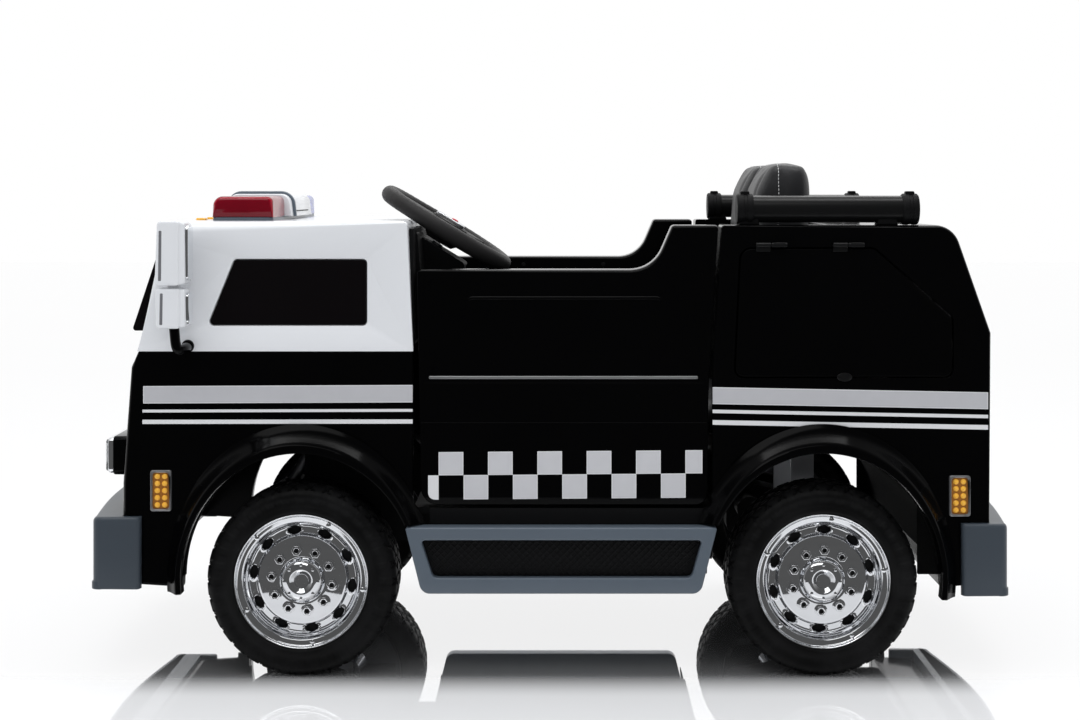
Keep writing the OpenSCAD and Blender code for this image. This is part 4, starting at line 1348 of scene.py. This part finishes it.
class TRUCK_OT_steering_wheel(TruckOperator, bpy.types.Operator):
    """Steering wheel: thick grained rim with thumb swells, three spokes and a hub with a
    silver panel, drawn in the wheel's own axes with +Z down the shaft."""
    bl_idname = "truck.steering_wheel"
    bl_label = "Steering wheel"

    def execute(self, context):
        joint = next(j for j in frame["joints"] if j["name"] == "steering_turn")
        origin = np.array(joint["pos_m"]) / MM
        down = -unit(np.array(joint["axis"]))
        across = np.array([0, 1.0, 0])
        axes = np.stack([np.cross(across, down), across, down])
        axes[0] = np.cross(axes[1], axes[2])
        put = lambda part: in_axes(part, origin, axes)
        t = np.linspace(0, TURN, 144, endpoint=False)
        swell = 12 - 0.8 * (1 + np.cos(3 * t)) ** 2 / 4 - 0.25 * (1 + np.cos(48 * t)) / 2
        rim_r = 93
        ring = np.stack([rim_r * np.cos(t), rim_r * np.sin(t), 0 * t], 1)
        rim = tube(ring, swell, flat=(0, 0, 1), n=20, loop=True)
        spokes = []
        for angle in (0, 120, 240):
            spoke = plate([rounded([(-89, -15, 3), (-89, 15, 3), (-22, 20, 6), (-22, -20, 6)])],
                          -8, 7, 3, 3, "z")
            a = math.radians(angle)
            turn = [(math.cos(a), math.sin(a), 0), (-math.sin(a), math.cos(a), 0), (0, 0, 1)]
            spokes.append(in_axes(spoke, (0, 0, 0), turn))
        hub = revolved([(0, -13), (20, -12.5), (27, -10), (30, -4), (30, 12), (20, 22), (0, 22)],
                       (0, 0, 0), "z", 60)
        build("steering_rim", "steering", "black_grip", "grip grain",
              put(rim), put(joined(*spokes)), put(hub), replaces=["steering_wheel"])
        badge = plate([rounded([(-24, -15, 8), (-24, 15, 8), (20, 20, 8), (20, -20, 8)])],
                      -15.5, -11, 1.5, 0, "z")
        build("steering_badge", "steering", "chrome", "silver paint", put(badge))
        dot = revolved([(0, 0), (5, 0), (5, 1.4), (4, 2.2), (0, 2.6)], (4, 0, -15), "z", 24,
                       side=-1)
        build("steering_button", "steering", "red_lens", "tail lens", put(dot))
        return {"FINISHED"}


class TRUCK_OT_dashboard(TruckOperator, bpy.types.Operator):
    """The dashboard's finish, with round switches and a pale-ringed gauge on it."""
    bl_idname = "truck.dashboard"
    bl_label = "Dashboard"

    def execute(self, context):
        dress("black grain", "dashboard")
        knobs = [revolved([(0, 0), (8, 0), (8, 3), (6.5, 5), (0, 5.6)], (177.8, y, 490), "x", 28,
                          side=-1) for y in (-90, -60, -30, 30)]
        gauge = (177.6, -150, 500)
        bezel = revolved([(24, 0), (27, 0), (27, 3), (25.5, 4.5), (24, 4)], gauge, "x", 48,
                         side=-1, ring=True)
        dial = revolved([(0, 0), (24.5, 0), (24.5, 2), (0, 2)], gauge, "x", 48, side=-1)
        build("dash_switches", "truck", "black_matte", "black gloss", *knobs, dial)
        build("dash_ring", "truck", "chrome", "silver paint", bezel)
        return {"FINISHED"}


class TRUCK_OT_tyres(TruckOperator, bpy.types.Operator):
    """Tyres. The section runs from bead to bead; on the tread the radius drops by the
    groove depth where either of two crossing families of lines, at angles of blocks times
    the turn plus or minus a multiple of the width, comes near a whole number."""
    bl_idname = "truck.tyres"
    bl_label = "Tyres"

    def execute(self, context):
        s = context.scene.truck_sizes
        h, r = TYRE_HALF, WHEEL_R
        across = np.linspace(-1, 1, 41)
        section_y = across * (h - 6)
        shoulder = np.clip((abs(across) - 0.72) / 0.28, 0, 1)
        section_r = r - 5.5 * shoulder ** 2
        outer = np.stack([section_r, section_y], 1)
        wall = np.array([(r - 9, h - 2.2), (r - 13, h - 0.8), (r - 16, h - 1.6), (r - 20, h - 2.4),
                         (101, h - 2.6), (99.5, h - 1.4), (96, h - 0.8), (93, h - 0.6),
                         (90.5, h - 1.4), (89, h - 4)])
        bead = np.array([(87.2, h - 12), (86.2, h - 16)])
        half = np.concatenate([wall, bead])
        profile = np.concatenate([outer, half, (half * [1, -1])[::-1]])
        n = 480
        t = np.linspace(0, TURN, n, endpoint=False)[:, None]
        radius, y = (np.broadcast_to(column, (n, len(profile))).copy() for column in profile.T)
        turn = t / TURN * s.tread_blocks
        ridge = lambda phase: abs((phase + 0.5) % 1 - 0.5)
        near = np.minimum(ridge(turn + y / 34), ridge(turn - y / 34))
        groove = np.clip((0.10 - near) / 0.03, 0, 1)
        rib = np.clip((2.2 - abs(abs(y) - 15)) / 0.8, 0, 1) * 0.8
        tread = np.zeros(len(profile))
        tread[:41] = np.clip((0.99 - abs(across)) / 0.05, 0, 1)
        radius -= s.tread_depth * np.maximum(groove, rib) * tread
        lugs = np.clip((0.30 - ridge(turn + 0.5)) / 0.05, 0, 1)
        blocky = (profile[:, 0] > 104) & (profile[:, 0] < r - 7) & (abs(profile[:, 1]) > h - 5)
        y = y + np.sign(y) * blocky * (lugs - 0.6) * 0.8
        y = np.clip(y, -h, h)
        for name, centre in WHEELS.items():
            grid = np.zeros((n, len(profile), 3))
            grid[..., 0] = centre[0] + radius * np.cos(t)
            grid[..., 1] = centre[1] + y
            grid[..., 2] = centre[2] + radius * np.sin(t)
            build(name + "_tread", name + "_wheel", "tyre", "tyre",
                  lattice(grid, wrap_u=True, wrap_v=True), replaces=[name + "_tyre"], angle=50)
        return {"FINISHED"}


class TRUCK_OT_wheels(TruckOperator, bpy.types.Operator):
    """Bright dished wheels. The face's height is a function of radius, lowered inside oval
    vents set round a circle. Hollow nuts with washers, rim screws, the hub and the dark
    floors of vents and nuts are separate."""
    bl_idname = "truck.wheels"
    bl_label = "Wheels"

    def execute(self, context):
        for name, centre in WHEELS.items():
            turns = (80, 116) if name.startswith("front") else (93, 98)
            self.wheel(name, centre, context.scene.truck_sizes.wheel_nuts,
                       *[math.radians(a) for a in turns])
        return {"FINISHED"}

    def wheel(self, name, centre, count, first, first_screw):
        """One wheel, whose first vent and nut stand at an angle, and its first screw too."""
        h = TYRE_HALF
        vent_r, nut_r, screw_r, rivet_r = 65.5, 40, 81, 22
        knots = np.array([(0, -16), (27, -16), (31, -15), (34, -15.2), (56, -16.5), (58, -17),
                          (59.5, -21), (61, -24.5), (69, -25), (71, -24), (72.5, -19.5),
                          (73.5, -18.5), (75, -17), (76, -13), (77.5, -9.5), (79, -8.6),
                          (84, -7.8), (85.5, -6.2), (87, -3.6), (88.4, -3.2), (88.6, -5)])
        r = np.concatenate([np.linspace(0.5, 50, 26), np.linspace(51, 88.6, 62)])
        face = h + np.interp(r, knots[:, 0], knots[:, 1])
        n = 360
        t = np.linspace(0, TURN, n, endpoint=False)[:, None]
        phase = ((t - first) / TURN * count + 0.5) % 1 - 0.5
        along = phase * TURN / count * 65
        oval_d = np.sqrt((along / 8.2) ** 2 + ((r - vent_r) / 4.4) ** 2)
        vent = np.clip((1.12 - oval_d) / 0.3, 0, 1)
        lip = np.exp(-((oval_d - 1.25) / 0.16) ** 2)
        heights = face - 7 * vent + 1.1 * lip * (r < 73) * (r > 58)
        back = np.array([(88.6, -8), (85.7, -12), (85.7, -h * 2 + 14), (80, -h * 2 + 14),
                         (78, -40), (30, -42), (24, -h * 2 + 8)])
        radius = np.concatenate([np.broadcast_to(r, (n, len(r))),
                                 np.broadcast_to(back[:, 0], (n, len(back)))], 1)
        height = np.concatenate([heights, np.broadcast_to(h + back[:, 1], (n, len(back)))], 1)
        grid = np.zeros((n, radius.shape[1] + 2, 3))
        grid[:, 1:-1, 0] = radius * np.cos(t)
        grid[:, 1:-1, 1] = height
        grid[:, 1:-1, 2] = radius * np.sin(t)
        grid[:, 0, 1] = heights[0, 0]
        grid[:, -1, 1] = -h + 8
        dark, bright = [], []
        for k in range(count):
            a = first + TURN * k / count
            spin = np.array([[math.cos(a), math.sin(a)], [-math.sin(a), math.cos(a)]])
            dark.append(plate([(oval(0, 0, 3.8, 7.4, 0, 342, 20) + [vent_r, 0]) @ spin],
                              h - 32.5, h - 30.6))
            at = (nut_r * math.cos(a), h - 16.4, nut_r * math.sin(a))
            hexagon = oval(at[0], at[2], 7.0, 7.0, 0, 300, 6)
            bore = oval(at[0], at[2], 3.1, 3.1, 0, 340, 18)
            bright.append(plate([hexagon, bore], at[1], at[1] + 8, 0, 0.8))
            bright.append(revolved([(0, 0), (8.8, 0), (8.6, 1.2), (0, 1.6)], at, n=24))
            dark.append(revolved([(0, 1), (3.2, 1), (3.2, 5), (0, 5)], at, n=18))
        for k in range(5):
            a = first_screw + TURN * k / 5
            bright.append(revolved([(0, 0), (3.4, 0), (3.2, 1.4), (1.8, 2.4), (0, 2.6)],
                                   (screw_r * math.cos(a), h - 8.6, screw_r * math.sin(a)),
                                   n=16))
        bright.append(revolved([(0, -8), (9, -8), (10, -6.5), (12.5, -5.5), (14.5, -2.6),
                                (16, -2), (19, -2.6), (24, -4.5), (28, -9), (30, -14), (31, -19),
                                (0, -19)], (0, h, 0), n=72))
        for a in np.radians(np.arange(0, 360, 45)):
            bright.append(revolved([(0, 0), (2.2, 0), (2.0, 1.6), (0, 2)],
                                   (rivet_r * math.cos(a), h - 3.9, rivet_r * math.sin(a)),
                                   n=12))
        put = lambda part: moved(part, centre, (1, 1 if centre[1] > 0 else -1, 1))
        body = name + "_wheel"
        build(name + "_dish", body, "chrome", "chrome",
              put(lattice(grid, wrap_u=True, poles=True)), replaces=[body])
        build(name + "_fittings", body, "chrome", "chrome", *[put(p) for p in bright])
        build(name + "_vents", body, "chrome", "black grain", *[put(p) for p in dark])


class TRUCK_OT_running_gear(TruckOperator, bpy.types.Operator):
    """Finishes of the pieces whose own shapes stay: tub, axles, steering and drive."""
    bl_idname = "truck.running_gear"
    bl_label = "Running gear"

    def execute(self, context):
        dress("black grain", "floor_tub", "seat_base", "steering_box", "gearboxes",
              "accelerator_pedal")
        dress("zinc", "steering_shaft", "front_axle", "rear_axle", "left_knuckle",
              "right_knuckle", "tie_rod")
        dress("grey case", "battery")
        ribs = [plate([box_line(x, x + 5, -128, 128, 3)], 158, 159.6, 0, 1.2, "z")
                for x in range(-60, 290, 14)]
        build("floor_ribs", "truck", "black_matte", "black grain", *ribs)
        return {"FINISHED"}


class TRUCK_OT_stage(TruckOperator, bpy.types.Operator):
    """Pale floor, soft studio light and the camera."""
    bl_idname = "truck.stage"
    bl_label = "Stage"

    def execute(self, context):
        scene = context.scene
        scene.view_settings.view_transform = "Standard"
        mesh = bpy.data.meshes.new("floor")
        size, front = 14.0, 0.7
        mesh.from_pydata([(-size, -size, 0), (size, -size, 0), (size, front, 0),
                          (-size, front, 0)], [], [(0, 1, 2, 3)])
        floor = bpy.data.objects.new("floor", mesh)
        scene.collection.objects.link(floor)
        paint = Finish("floor paint")
        # Mirror-like under the truck, matt nearer the camera.
        near = paint.node("SeparateXYZ", inputs={0: paint.where})["Y"].smooth(0.27, 0.40)
        paint.metal(0.8 - 0.8 * near)
        clouds = paint.noise(1.2, 2.0)
        paint.colour(paint.blend(clouds, (0.97, 0.97, 0.975), (0.99, 0.99, 0.995)))
        paint.rough(clouds * 0.01 + 0.015)
        mesh.materials.append(paint.material)
        self.world(scene)
        for name, place_at, aim, size_x, size_y, power in (
                ("key softbox", (0.8, 2.2, 3.4), (0, 0, 0.3), 3.2, 1.2, 26),
                ("back softbox", (-0.4, -2.8, 2.8), (0, 0, 0.4), 3.2, 1.2, 24),
                ("strip softbox", (0, 0.3, 3.2), (0, 0, 0), 3.0, 0.6, 34)):
            lamp = bpy.data.lights.new(name, "AREA")
            lamp.shape = "RECTANGLE"
            lamp.size, lamp.size_y = size_x, size_y
            lamp.energy = power
            holder = bpy.data.objects.new(name, lamp)
            holder.location = place_at
            towards = np.array(aim, float) - np.array(place_at, float)
            holder.rotation_euler = Vector(towards).to_track_quat("-Z", "Y").to_euler()
            scene.collection.objects.link(holder)
        self.camera(scene)
        return {"FINISHED"}

    def world(self, scene):
        """White to the camera and a level grey for light. For gloss it is bright behind the
        truck and dark on the camera's side, as in a studio with one white wall."""
        world = scene.world = bpy.data.worlds.new("studio")
        room = Shading(world)
        glow = lambda tint, strength: room.node("Background", inputs={
            "Color": (*tint, 1), "Strength": strength})[0]
        way = room.node("SeparateXYZ", inputs={0: room.node("TexCoord")["Generated"]})
        rays = room.node("LightPath")
        gloss = room.node("MixShader", inputs={0: way["Y"].smooth(-0.25, 0.35),
                                               1: glow((1, 1, 1), 1.0), 2: glow((1, 1, 1), 0.1)})
        light = room.node("MixShader", inputs={0: rays["Is Glossy Ray"],
                                               1: glow((0.95, 0.97, 1), 0.82), 2: gloss[0]})
        seen = rays["Is Camera Ray"] + rays["Is Transmission Ray"]
        sky = room.node("MixShader", inputs={0: seen, 1: light[0], 2: glow((1, 1, 1), 1.0)})
        room.node("OutputWorld", inputs={"Surface": sky[0]})

    def camera(self, scene):
        s = scene.truck_stage
        camera = bpy.data.cameras.new("camera")
        camera.sensor_width = 36
        camera.lens = s.lens
        camera.shift_x, camera.shift_y = -0.0185, -0.1574
        holder = bpy.data.objects.new("camera", camera)
        holder.location = (-0.0105, s.distance, s.height)
        holder.rotation_euler = (math.pi / 2, 0, math.pi)
        scene.collection.objects.link(holder)
        scene.camera = holder


class TRUCK_PT_panel(bpy.types.Panel):
    """The truck's settings and pieces, in the sidebar."""
    bl_idname = "TRUCK_PT_panel"
    bl_label = "Ride-on truck"
    bl_space_type = "VIEW_3D"
    bl_region_type = "UI"
    bl_category = "Truck"

    def draw(self, context):
        for group in (context.scene.truck_colours, context.scene.truck_sizes,
                      context.scene.truck_stage):
            box = self.layout.box()
            for key in group.__annotations__:
                box.prop(group, key)
        for maker in OPERATORS:
            self.layout.operator(maker.bl_idname)


OPERATORS = (
    TRUCK_OT_stage, TRUCK_OT_front_body, TRUCK_OT_cab, TRUCK_OT_windows, TRUCK_OT_rear_body,
    TRUCK_OT_doors, TRUCK_OT_hatches, TRUCK_OT_stripes, TRUCK_OT_flares, TRUCK_OT_steps,
    TRUCK_OT_bumpers, TRUCK_OT_face, TRUCK_OT_markers, TRUCK_OT_light_bar, TRUCK_OT_mirrors,
    TRUCK_OT_rack, TRUCK_OT_steering_wheel, TRUCK_OT_dashboard, TRUCK_OT_tyres,
    TRUCK_OT_wheels, TRUCK_OT_running_gear, TRUCK_OT_seats)
GROUPS = (("truck_colours", TruckColours), ("truck_sizes", TruckSizes),
          ("truck_stage", TruckStage))


def register():
    for name, group in GROUPS:
        bpy.utils.register_class(group)
        setattr(bpy.types.Scene, name, bpy.props.PointerProperty(type=group))
    for cls in (*OPERATORS, TRUCK_PT_panel):
        bpy.utils.register_class(cls)


def unregister():
    for cls in (TRUCK_PT_panel, *reversed(OPERATORS)):
        bpy.utils.unregister_class(cls)
    for name, group in reversed(GROUPS):
        delattr(bpy.types.Scene, name)
        bpy.utils.unregister_class(group)


def main():
    register()
    for maker in OPERATORS:
        family, action = maker.bl_idname.split(".")
        getattr(getattr(bpy.ops, family), action)()
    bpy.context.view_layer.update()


if __name__ == "__main__":
    main()
